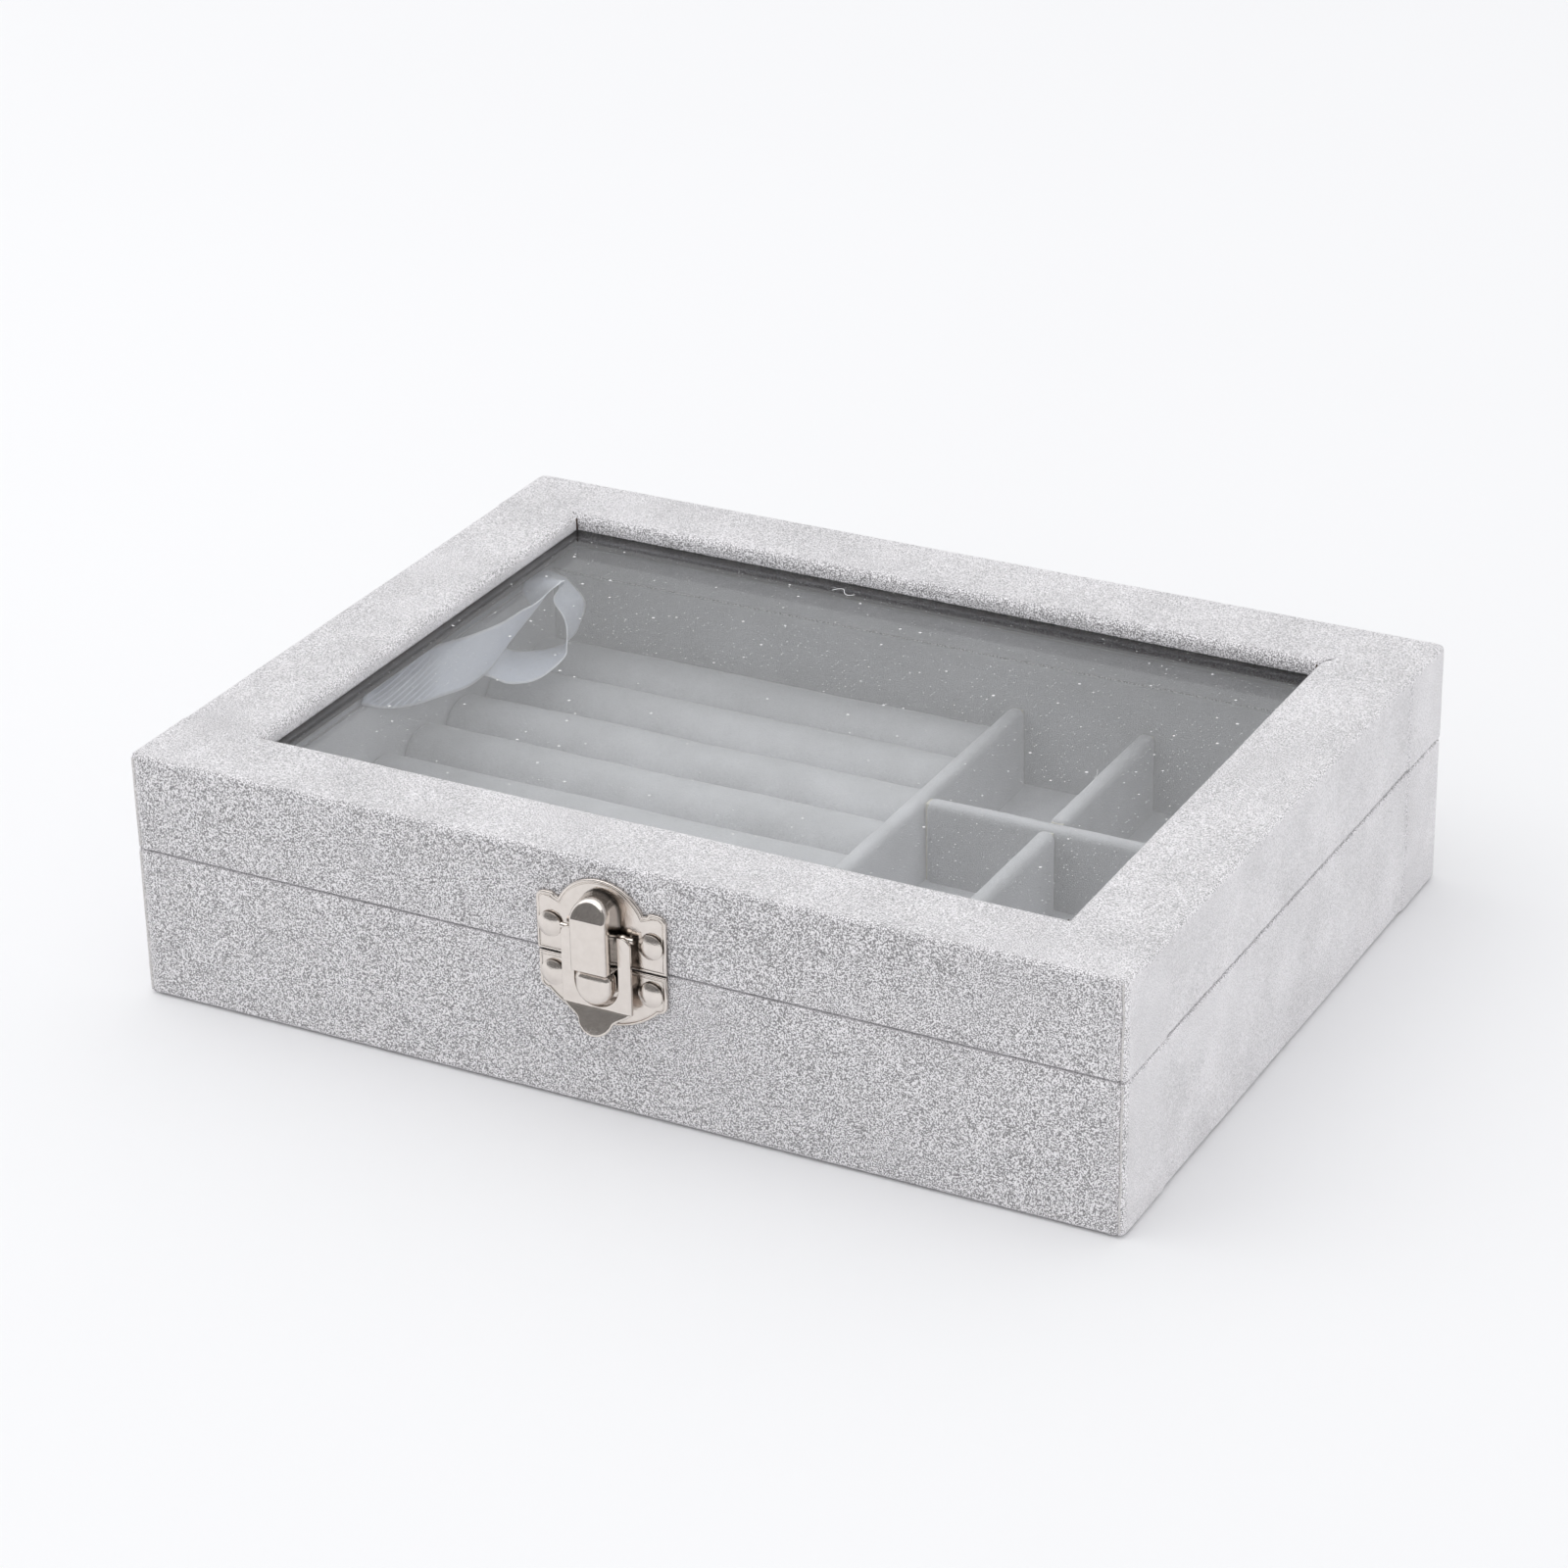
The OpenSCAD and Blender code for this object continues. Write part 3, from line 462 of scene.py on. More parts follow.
# ---- velvet over the lid ----
# The same velvet covers the lid's walls and the frame round its window, and turns down over
# the window's edge to the glass.
SIDE_W, END_W = 17.9, 16.8
WINDOW_X, WINDOW_Y = BOX_X - SIDE_W, BOX_Y - END_W
TOP_R, EDGE_R = 1.1, 1.9
lid_wall = [(0.0, z) for z in np.linspace(31.6, 48.6, 19)]
low_turn = [
    (RIM_R - RIM_R * math.sin(a), LID_RIM + RIM_R - RIM_R * math.cos(a)) for a in quarter(6)
]
top_turn = [
    (TOP_R - TOP_R * math.cos(a), TOP_Z - TOP_R + TOP_R * math.sin(a)) for a in quarter(9)
]
frame_top = [(d, TOP_Z) for d in np.linspace(2.0, END_W - 2.5, 11)]
edge_turn = [
    (END_W - EDGE_R + EDGE_R * math.sin(a), TOP_Z - EDGE_R + EDGE_R * math.cos(a))
    for a in quarter(9)
]
edge_drop = [(END_W, 47.7), (END_W, 47.3), (END_W - 0.05, 46.85)]
lid_inner = [(END_W - 0.6, 46.85), (END_W - 0.7, 49.2)]
lid_inner += [(0.8, 49.2), (0.8, 31.5), (3.3, 31.4), (3.3, 30.85)]
lid_rim = [(2.5, LID_RIM), (1.5, LID_RIM)]
lid_points = lid_rim + low_turn + lid_wall + top_turn
lid_points += frame_top + edge_turn + edge_drop + lid_inner
lid_section = [(d * MM, z * MM) for d, z in lid_points]
lid_share = (
    [0.2, 0.3]
    + [0.4, 0.5, 0.7, 0.8, 0.9, 1]
    + [1.0] * len(lid_wall)
    + [1, 1, 0.9, 0.8, 0.6, 0.4, 0.25, 0.12, 0.05]
    + [2.0] * len(frame_top)
    + [2.0] * len(edge_turn)
    + [2, 2, 0.0]
    + [0.0] * len(lid_inner)
)


def window_inset(d):
    """The frame is a little wider at the sides than at the ends."""
    widen = 1 + (SIDE_W / END_W - 1) * eased((d / MM - 1.5) / (END_W - 4))
    return d * float(widen), d


lid_velvet = velvet_wrap("lid_velvet", lid_section, lid_share, stations, window_inset, 11.0)
fixed(lid_velvet, "lid", "velvet_cover", "lid_cover")


# The rails round the window are not quite equally wide: how far each corner of the window is
# moved, in millimetres.
WINDOW_DRAWN = {(-1, 1): (0, 0), (1, 1): (-1.1, -1.5), (1, -1): (-0.4, 0.4), (-1, -1): (0.2, 0.8)}


def drawn_in(piece):
    """Moves a piece's points near the window as the velvet was pulled round each corner."""
    window = np.array([WINDOW_X, WINDOW_Y]) * MM
    for vertex in piece.data.vertices:
        at = np.array(vertex.co)[:2]
        share = np.clip((at / window + 1) / 2, 0, 1)
        fade = 1 - eased(np.max(np.abs(at) - window) / (12 * MM))
        for (sx, sy), by in WINDOW_DRAWN.items():
            near = (share[0] if sx > 0 else 1 - share[0]) * (share[1] if sy > 0 else 1 - share[1])
            vertex.co.x += by[0] * MM * near * fade
            vertex.co.y += by[1] * MM * near * fade


drawn_in(lid_velvet)


def nap(name, body, runs, seed):
    """Loose fibres standing along the velvet's edges. Each run is its two ends, the two
    directions the edge turns between, its radius, the fibres' length and how many stand on
    each millimetre."""
    chance = np.random.default_rng(seed)
    corners = []
    for start, end, first, second, radius, length, dense in runs:
        start, end, first, second = (np.array(v, float) for v in (start, end, first, second))
        far = np.linalg.norm(end - start)
        ahead = (end - start) / far
        count = int(far * dense)
        turn = chance.uniform(0, math.pi / 2, count)
        out = np.outer(np.cos(turn), first) + np.outer(np.sin(turn), second)
        foot = start + np.outer(chance.uniform(0, far, count), ahead) + out * (radius - 0.03)
        lean = out + np.outer(chance.normal(0, 0.7, count), ahead)
        lean = lean + chance.normal(0, 0.25, (count, 3))
        lean /= np.linalg.norm(lean, axis=1, keepdims=True)
        tip = foot + lean * (length * chance.uniform(0.4, 1.3, count))[:, None]
        half = 0.035 * ahead
        corners.append(np.stack([foot - half, foot + half, tip], 1).reshape(-1, 3))
    corners = np.concatenate(corners) * MM
    triangles = np.arange(len(corners)).reshape(-1, 3)
    mesh = meshed(name, corners.tolist(), triangles.tolist())
    mesh.materials.append(cover_finish.material)
    piece = placed(name, mesh)
    fixed(piece, body, "velvet_cover")
    return piece


def round_the_box(x, y, z, out_and, radius, length, dense):
    """Four runs of fibres round a rectangle, turned outwards (1) or inwards (-1) and up."""
    side, rise = out_and
    up = (0, 0, rise)
    return [
        ((-x, -y, z), (x, -y, z), (0, -side, 0), up, radius, length, dense),
        ((-x, y, z), (x, y, z), (0, side, 0), up, radius, length, dense),
        ((-x, -y, z), (-x, y, z), (-side, 0, 0), up, radius, length, dense),
        ((x, -y, z), (x, y, z), (side, 0, 0), up, radius, length, dense),
    ]


POST_X, POST_Y = 98.3, 73.3
posts = [
    ((sx * POST_X, sy * POST_Y, z0), (sx * POST_X, sy * POST_Y, z1), (sx, 0, 0), (0, sy, 0))
    + (1.75, 0.16, 5)
    for sx in (-1, 1)
    for sy in (-1, 1)
    for z0, z1 in ((1.5, 29.6), (31.4, 48.8))
]
edge_at = WINDOW_X + EDGE_R, WINDOW_Y + EDGE_R, TOP_Z - EDGE_R
lid_runs = round_the_box(*edge_at, (-1, 1), EDGE_R, 0.28, 9)
lid_runs += round_the_box(WINDOW_X, WINDOW_Y, 47.2, (-1, -1), 0.02, 0.3, 8)
top_at = BOX_X - TOP_R, BOX_Y - TOP_R, TOP_Z - TOP_R
lid_runs += round_the_box(*top_at, (1, 1), TOP_R, 0.18, 5)
rim_x, rim_y, seam_z = BOX_X - RIM_R, BOX_Y - RIM_R, LID_RIM + RIM_R
lid_runs += round_the_box(rim_x, rim_y, seam_z, (1, -1), RIM_R, 0.22, 6)
seam_ends = (rim_x, -73, seam_z), (rim_x, 73, seam_z)
lid_runs.append((*seam_ends, (1, 0, 0), (0, 0, -1), RIM_R, 0.3, 30))
base_runs = round_the_box(rim_x, rim_y, BASE_H - RIM_R, (1, 1), RIM_R, 0.26, 7)
base_runs += round_the_box(BOX_X - HEM_R, BOX_Y - HEM_R, HEM_TOP, (1, -1), HEM_R, 0.15, 4)
drawn_in(nap("lid_nap", "lid", lid_runs + [p for p in posts if p[0][2] > 31], 5))
nap("base_nap", "base", base_runs + [p for p in posts if p[0][2] < 31], 6)


# ---- boards ----
# Brown fibreboard walls, floor and lid frame, glued at their edges. The velvet hides them but
# for the slits at the window's corners and a thin line round the glass.
raw_board = Finish("fibreboard", Roughness=0.9)
fibres = raw_board.grain(0.0012, detail=4, rough=0.7)
raw_board.feed(Base_Color=raw_board.mixed(fibres, grey(128, 98, 70), grey(186, 152, 116)))
raw_board.bumped(fibres, 0.0002)


def dress(finish, *names):
    """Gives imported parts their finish."""
    for name in names:
        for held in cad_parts[name].material_slots:
            held.material = finish.material


dress(raw_board, *[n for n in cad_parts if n.endswith("_board")])

# The velvet is slit at the window's corners, and the frame's board shows in each slit,
# painted dark brown as painted shade inside the slit.
shadowed = Finish("slit_board_painted_shade", Roughness=0.9)
shadowed.feed(Base_Color=shadowed.mixed(shadowed.grain(0.0006), grey(38, 28, 22), grey(84, 62, 46)))
slits = bmesh.new()
for sx in (-1, 1):
    for sy in (-1, 1):
        made = bmesh.ops.create_cone(
            slits, cap_ends=True, segments=10, radius1=0.3 * MM, radius2=0.12 * MM, depth=2.4 * MM
        )
        stand = Matrix.Translation((sx * WINDOW_X * MM, sy * WINDOW_Y * MM, 48.15 * MM))
        bmesh.ops.transform(slits, matrix=stand, verts=made["verts"])
slit_mesh = bpy.data.meshes.new("window_slits")
slits.to_mesh(slit_mesh)
slits.free()
window_slits = settled("window_slits", slit_mesh, shadowed)
drawn_in(window_slits)
fixed(window_slits, "lid", "board")

# ---- paper under the base and card inside it ----
# A sheet of grey paper is glued under the base over the velvet's hem. Pale card carries the
# rolls and stiffens the dividers.
paper = Finish("underside_paper", Roughness=0.8)
flecks = paper.grain(0.0009, detail=3)
paper.feed(Base_Color=paper.mixed(flecks, grey(150, 149, 147), grey(176, 175, 172)))
paper.bumped(flecks, 0.00008)
dress(paper, "underside_sheet")
card = Finish("card", Roughness=0.85)
pulp = card.grain(0.0008, detail=3)
card.feed(Base_Color=card.mixed(pulp, grey(196, 190, 176), grey(214, 209, 197)))
dress(card, "roll_card", *[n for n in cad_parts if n.endswith("_card")])

# ---- lining ----
# Strips of grey velvet glued inside the walls of the base and the lid, and one sheet on the
# floor. Their edges are soft, and they lie a little unevenly on the boards.
# The lining is painted paler on faces turned sideways or up, as painted light.
lining_nap_and_painted_light = {"sparkle": 0.8, "depth": 0.0001, "sheen": 0.4, "painted_light_sides": 0.5, "on_top": 0.55}
lining_finish = velvet("velvet_lining", grey(168, 168, 171), **lining_nap_and_painted_light)


def steps_between(low, high, r, cell):
    """Places from low to high, close together in the round at each end."""
    near = np.array([0, 0.08, 0.22, 0.42, 0.68, 1.0]) * r
    middle = np.linspace(low + r, high - r, max(2, int((high - low - 2 * r) / cell) + 1))
    return np.concatenate([low + near, middle[1:-1], (high - near)[::-1]])


def soft_block(low, high, r, cell, uneven, seed, footed=False):
    """Points and faces of a block with round edges and slightly uneven faces. A footed block
    keeps a square foot."""
    low, high = np.array(low, float), np.array(high, float)
    lines = [steps_between(low[k], high[k], r, cell) for k in range(3)]
    held_low, held_high = low + r, high - r
    if footed:
        held_low[2] = low[2]
    points, faces = [], []
    for axis in range(3):
        u, v = [k for k in range(3) if k != axis]
        for end in (low[axis], high[axis]):
            first = len(points)
            for a in lines[u]:
                for b in lines[v]:
                    p = np.empty(3)
                    p[axis], p[u], p[v] = end, a, b
                    core = np.clip(p, held_low, held_high)
                    out = p - core
                    far = np.linalg.norm(out)
                    if far > 1e-9:
                        bump = noise.noise(Vector(p / 9 + seed))
                        bump += 0.4 * noise.noise(Vector(p / 2.5 + seed))
                        p = core + out / far * (r + uneven * bump)
                    points.append(p * MM)
            n = len(lines[v])
            for i in range(len(lines[u]) - 1):
                for j in range(n - 1):
                    a = first + i * n + j
                    faces.append((a, a + n, a + n + 1, a + 1))
    return points, faces


def piece_of(name, blocks, finish, body, node):
    """One velvet piece from one or more blocks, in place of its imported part."""
    points, faces = [], []
    for more_points, more_faces in blocks:
        first = len(points)
        points += more_points
        faces += [tuple(first + k for k in f) for f in more_faces]
    mesh = meshed(name, [tuple(p) for p in points], faces)
    fixed(settled(name, mesh, finish), body, "velvet_lining", node)


INSIDE_X, INSIDE_Y = 96.5, 71.5
LINED_X, LINED_Y = 95.8, 70.8
FLOOR_FOOT, FLOOR_TOP = 3.0, 3.6


def lining_strips(z0, z1, seed):
    """Four strips inside the walls: long ones at the front and back, short ones between."""
    made = []
    for s in (-1, 1):
        x, (y0, y1) = INSIDE_X - 0.1, sorted((s * LINED_Y, s * INSIDE_Y))
        made.append(soft_block((-x, y0, z0), (x, y1, z1), 0.3, 2.5, 0.04, seed + s))
        y, (x0, x1) = LINED_Y - 0.1, sorted((s * LINED_X, s * INSIDE_X))
        made.append(soft_block((x0, -y, z0), (x1, y, z1), 0.3, 2.5, 0.04, seed + 5 + s))
    return made


base_strips = lining_strips(FLOOR_FOOT, BASE_H - 0.1, 21.0)
piece_of("base_lining_velvet", base_strips, lining_finish, "base", "base_lining")
lid_strips = lining_strips(LID_RIM + 0.1, 42.6, 33.0)
piece_of("lid_lining_velvet", lid_strips, lining_finish, "lid", "lid_lining")
x, y = LINED_X - 0.05, LINED_Y - 0.05
floor_block = soft_block((-x, -y, FLOOR_FOOT), (x, y, FLOOR_TOP), 0.15, 3.0, 0.03, 47.0)
piece_of("floor_velvet", [floor_block], lining_finish, "base", "floor_lining")

# ---- frame under the glass ----
# Strips of thick card wrapped in the same velvet hold the glass from below. They are glued
# under the lid's boards round the window, and the glass lies in their rebate. Their upright
# faces are painted dark grey as painted shade under the frame, and their flat faces paler.
painted_shade_nap = {"sparkle": 0.5, "depth": 0.00008, "sheen": 0.05, "painted_light_sides": 0.0, "on_top": 4.6}
painted_shade_finish = velvet("velvet_painted_shade", grey(66, 66, 68), **painted_shade_nap)
low, high = (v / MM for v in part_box("glass_retainer"))
hole = Vector((82.8, 58.8))
rebate = Vector((90.4, 66.5))
under_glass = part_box("glass_pane")[0].z / MM - 0.02
strips = []
for edge, z1 in ((hole, under_glass), (rebate, high.z)):
    for s in (-1, 1):
        y0, y1 = sorted((s * edge.y, s * high.y))
        strips.append(soft_block((low.x, y0, low.z), (high.x, y1, z1), 0.6, 2.5, 0.0, 52.0 + s))
        x0, x1 = sorted((s * edge.x, s * high.x))
        ends = (x0, -rebate.y, low.z), (x1, rebate.y, z1)
        strips.append(soft_block(*ends, 0.6, 2.5, 0.0, 56.0 + s))
piece_of("retainer_velvet", strips, painted_shade_finish, "lid", "glass_retainer")

# ---- ring rolls ----
# Nine foam rolls wrapped in soft grey velvet lie side by side on a card, and rings are pushed
# into the gaps between them. The foam presses the wrapped sides together.
# The rolls are painted a little paler on faces turned sideways or up, as painted light.
roll_nap_and_painted_light = {"sparkle": 0.8, "depth": 0.0001, "sheen": 0.4, "painted_light_sides": 0.05, "on_top": 0.05}
roll_finish = velvet("velvet_roll", grey(190, 190, 193), **roll_nap_and_painted_light)


def roll_section(half, foot, crest):
    """Half the width of a roll at each height, from its foot over its crest and down again."""
    shoulder = crest - half
    up = [(-half * 0.97, foot), (-half, foot + 0.8)]
    up += [(-half, (foot + shoulder) / 2), (-half, shoulder - 0.5)]
    over = []
    for a in np.radians(np.linspace(3, 177, 27)):
        wide = math.copysign(abs(math.cos(a)) ** 0.94, math.cos(a))
        over.append((-half * wide, shoulder + half * math.sin(a)))
    return up + over + [(-y, z) for y, z in reversed(up)]


ROLL_H, ROLL_END_R = 13.7, 1.3
for n in range(1, 10):
    low, high = (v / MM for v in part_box(f"ring_roll_{n}"))
    middle, half = (low.y + high.y) / 2, (high.y - low.y) / 2
    section = roll_section(half, low.z, high.z)
    near = np.array([0, 0.1, 0.35, 0.75, 1.3, 2.2])
    between = np.linspace(low.x + 3.5, high.x - 3.5, 64)
    places = np.concatenate([low.x + near, between, (high.x - near)[::-1]])
    points, faces = [], []
    for x in places:
        end = min(x - low.x, high.x - x)
        pull = 0.9 * (1 - math.sqrt(max(0, 1 - (1 - min(end / ROLL_END_R, 1)) ** 2)))
        slump = 0.22 * noise.noise(Vector((x / 26, n * 5.7, 0)))
        slump += 0.08 * noise.noise(Vector((x / 5, n * 3.1, 4)))
        sway = 0.3 * noise.noise(Vector((x / 34, n * 9.3, 8)))
        for y, z in section:
            share = (z - low.z) / (high.z - low.z)
            crease = 0.12 * noise.noise(Vector((x / 7, y / 5, n * 2.2))) * share
            wide = 1 - pull / half
            beside = middle + y * wide + sway * share * (1 - abs(y) / half)
            above = low.z + (z - low.z) * (1 - pull / ROLL_H) + share * (slump + crease - 0.15)
            points.append((x * MM, beside * MM, above * MM))
    count = len(section)
    for i in range(len(places) - 1):
        for j in range(count):
            k = (j + 1) % count
            faces.append((i * count + j, i * count + k, (i + 1) * count + k, (i + 1) * count + j))
    faces.append(tuple(range(count)))
    faces.append(tuple((len(places) - 1) * count + j for j in range(count)))
    roll = settled(f"roll_{n}", meshed(f"roll_{n}", points, faces), roll_finish)
    fixed(roll, "base", "velvet_roll", f"ring_roll_{n}")

# ---- dividers ----
# Card dividers wrapped in velvet, with soft round tops. The two short ones drop into slots in
# the long ones where they cross.
FLOOR_Z, DIVIDER_TOP, HALF_T, DIVIDER_END = 3.62, 20.8, 1.9, 70.6


def middle_of(node, axis):
    """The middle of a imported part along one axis, in millimetres."""
    low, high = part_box(node)
    return (low[axis] + high[axis]) / 2 / MM


column_x = [middle_of(f"column_divider_{n}_cover", 0) for n in (1, 2)]
row_y = [middle_of(f"row_divider_{n}_cover", 1) for n in (1, 2)]
long_x = middle_of("long_divider_cover", 0)


def slab(x0, x1, y0, y1, seed):
    return soft_block((x0, y0, FLOOR_Z), (x1, y1, DIVIDER_TOP), 1.75, 2.2, 0.1, seed, footed=True)


long_slab = slab(long_x - HALF_T, long_x + HALF_T, -DIVIDER_END, DIVIDER_END, 61.0)
piece_of("long_divider_velvet", [long_slab], lining_finish, "base", "long_divider_cover")
ends = [-DIVIDER_END, *(y + by for y in row_y for by in (-HALF_T, HALF_T)), DIVIDER_END]
runs = list(zip(ends[::2], ends[1::2]))
for n, x in enumerate(column_x, 1):
    parts = [slab(x - HALF_T, x + HALF_T, y0, y1, 63.0 + n + k) for k, (y0, y1) in enumerate(runs)]
    cover = f"column_divider_{n}_cover"
    piece_of(f"column_divider_{n}_velvet", parts, lining_finish, "base", cover)
for n, y in enumerate(row_y, 1):
    cover = f"row_divider_{n}_cover"
    low, high = (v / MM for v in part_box(cover))
    parts = [slab(low.x, high.x, y - HALF_T, y + HALF_T, 71.0 + n)]
    piece_of(f"row_divider_{n}_velvet", parts, lining_finish, "base", cover)

# ---- glass ----
# A clear pane in a rebate under the frame. It has gathered a little dust, and it mirrors
# the room.
GLASS_TOP = 46.7 * MM
pane = Finish("glass")
pane.tree.nodes.remove(pane.shader)
face = pane.node("ShaderNodeNewGeometry", output="Backfacing")
bent = pane.node("ShaderNodeFresnel", {}, {"IOR": 1.5 + face * (1 / 1.5 - 1.5)})
clear = pane.node("ShaderNodeBsdfTransparent", {}, {"Color": (0.975, 0.98, 0.978, 1)})
mirror = pane.node("ShaderNodeBsdfAnisotropic", {}, {"Color": (1, 1, 1, 1), "Roughness": 0.0})
clean = pane.node("ShaderNodeMixShader", {}, {0: bent, 1: clear, 2: mirror})
at = pane.place()
on_top = pane.node("ShaderNodeSeparateXYZ", {}, {"Vector": at}, "Z") > GLASS_TOP
flat = {"voronoi_dimensions": "2D"}
specks = 0.0
for size, seed, most in ((0.0042, 0.0, 0.085), (0.0021, 0.13, 0.075), (0.0009, 0.29, 0.13)):
    shifted = pane.node("ShaderNodeVectorMath", {"operation": "ADD"}, {0: at, 1: (seed, seed, 0)})
    cells = pane.node("ShaderNodeTexVoronoi", flat, {"Vector": shifted, "Scale": 1 / size})
    rare = Wire(pane, cells.socket.node.outputs["Color"])
    lot = pane.node("ShaderNodeSeparateColor", {}, {"Color": rare})
    size_of = (lot ** 5.0) * most
    specks = specks + (cells * -1.0 + size_of).rise(0.0, 0.02)
film = pane.grain(0.03, detail=4) * 0.06 * pane.grain(0.0005, detail=1).rise(0.5, 0.8)
dust = ((specks + film) * on_top).held()
lint = pane.node("ShaderNodeBsdfDiffuse", {}, {"Color": grey(226, 226, 226)})
dusty = pane.node("ShaderNodeMixShader", {}, {0: dust, 1: clean, 2: lint})
pane.tree.links.new(dusty.socket, pane.tree.nodes["Material Output"].inputs["Surface"])
dress(pane, "glass_pane")

# A curl of lint and a hair lie on the pane.
LINT = [(-20.6, 53.2), (-19.9, 54.6), (-18.6, 54.9), (-18.2, 53.6)]
LINT += [(-17.3, 52.3), (-16.2, 52.2), (-15.6, 53.1)]
HAIR = [(60.2, 2.0), (60.9, 0.4), (61.4, -1.6), (61.6, -3.6), (61.5, -5.6), (61.6, -7.6)]
fluff = Finish("fluff", Roughness=0.9)
fluff.feed(Base_Color=fluff.mixed(fluff.grain(0.0008), grey(232, 232, 232), grey(250, 250, 250)))
strands = bpy.data.curves.new("strands", "CURVE")
strands.dimensions = "3D"
for places, thick in ((LINT, 0.07), (HAIR, 0.03)):
    strand = strands.splines.new("NURBS")
    strand.points.add(len(places) - 1)
    for point, (x, y) in zip(strand.points, places):
        point.co = (x * MM, y * MM, GLASS_TOP + 0.2 * MM, 1)
        point.radius = thick * MM
    strand.use_endpoint_u = True
strands.bevel_depth = 1.0
strands.bevel_resolution = 1
held = bpy.data.objects.new("strands", strands)
lint_and_hair = settled("lint_and_hair", bpy.data.meshes.new_from_object(held), fluff)
bpy.data.objects.remove(held)
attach(lint_and_hair, "lid")

# ---- latch ----
# Pressed and nickel-plated steel: two scalloped plates nailed to the walls, a cast block with
# a round nose on the upper one, and a swinging flap whose tongue is lifted with a finger.
nickel = Finish("nickel", Metallic=1.0)
smear = nickel.grain(0.0018, detail=4, rough=0.65)
scuffs = nickel.grain(0.00025, detail=3)
plating = nickel.mixed(smear, grey(214, 206, 199), grey(236, 229, 223))
# Painted shade: the colour darkens to brown-grey in crevices and round raised parts, where ambient
# occlusion finds them.
crevice = nickel.node("ShaderNodeAmbientOcclusion", {"samples": 6}, {"Distance": 0.0012}, "AO")
painted_crevice_shade = (1 - crevice).rise(0.35, 0.85) * 0.7
nickel.feed(Base_Color=nickel.mixed(painted_crevice_shade, plating, grey(58, 54, 50)))
nickel.feed(Roughness=(0.05 + 0.11 * smear + 0.05 * scuffs).held())
nickel.bumped(smear + 0.4 * scuffs, 0.00006, 0.8)


def arc(x, z, r, start, end, count=14):
    """Points on an arc in the front view, from one angle to another in degrees."""
    angles = np.radians(np.linspace(start, end, count))
    return [(x + r * math.cos(a), z + r * math.sin(a)) for a in angles]


def mirrored_outline(half):
    """A whole outline from its right half, which runs from the bottom to the top."""
    return half + [(-x, z) for x, z in reversed(half)]


def inset(outline, by):
    """An outline moved inwards by a distance."""
    moved = []
    for before, here, after in zip(outline[-1:] + outline[:-1], outline, outline[1:] + outline[:1]):
        ways = [Vector(b) - Vector(a) for a, b in ((before, here), (here, after))]
        sides = [Vector((-w.y, w.x)).normalized() for w in ways]
        step = (sides[0] + sides[1]) / max(1 + sides[0].dot(sides[1]), 0.3)
        moved.append((here[0] + step.x * by, here[1] + step.y * by))
    return moved


def stamped(outlines, back, front, edge):
    """A mesh of sheet metal cut to front-view outlines, with its edges rounded over. back
    and front are distances out from the front velvet. A second outline is a hole."""
    sheet = bpy.data.curves.new("outline", "CURVE")
    sheet.dimensions, sheet.fill_mode = "2D", "BOTH"
    sheet.extrude = ((front - back) / 2 - edge) * MM
    sheet.bevel_depth, sheet.bevel_resolution, sheet.offset = edge * MM, 3, -edge * MM
    for outline in outlines:
        line = sheet.splines.new("POLY")
        line.points.add(len(outline) - 1)
        line.points.foreach_set("co", [v for x, z in outline for v in (x * MM, z * MM, 0, 1)])
        line.use_cyclic_u = True
    held = bpy.data.objects.new("outline", sheet)
    mesh = bpy.data.meshes.new_from_object(held)
    bpy.data.objects.remove(held)
    mesh.transform(Matrix.Rotation(math.radians(90), 4, "X"))
    mesh.transform(Matrix.Translation((0, -HALF_Y - (front + back) / 2 * MM, 0)))
    return mesh


def turned(profile, x, z, count=48):
    """A mesh turned on a lathe round an axis that stands out from the front wall. The profile
    gives radius and distance out."""
    points, faces = [], []
    for n in range(count):
        angle = 2 * math.pi * n / count
        for r, out in profile:
            beside, above = x + r * math.cos(angle), z + r * math.sin(angle)
            points.append((beside * MM, -HALF_Y - out * MM, above * MM))
    rings = len(profile)
    for n in range(count):
        for k in range(rings - 1):
            a, b = n * rings + k, (n + 1) % count * rings + k
            faces.append((a, b, b + 1, a + 1))
    return meshed("turned", points, faces)


def plated(name, mesh, body, node, rounded=0.0):
    """One nickel-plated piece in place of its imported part, with its sharp edges rounded over
    by a distance."""
    piece = settled(name, mesh, nickel)
    if rounded:
        edges = piece.modifiers.new("edges", "BEVEL")
        edges.width = rounded * MM
        edges.segments = 3
        edges.limit_method = "ANGLE"
        edges.angle_limit = math.radians(32)
    flat = piece.modifiers.new("flat", "WEIGHTED_NORMAL")
    flat.weight = 80
    fixed(piece, body, "nickel", node)


def metal_piece(name, meshes, body, node):
    """One metal piece from several meshes."""
    whole = bmesh.new()
    for mesh in meshes:
        whole.from_mesh(mesh)
    mesh = bpy.data.meshes.new(name)
    whole.to_mesh(mesh)
    whole.free()
    plated(name, mesh, body, node)


def plate(outline):
    """A plate with a rolled rim, and a groove between the rim and its field."""
    sheet = stamped([outline], 0, 0.74, 0.25)
    rim = stamped([outline, inset(outline, 0.62)], 0.3, 0.9, 0.28)
    field = stamped([inset(outline, 0.74)], 0.3, 0.86, 0.14)
    return [sheet, rim, field]


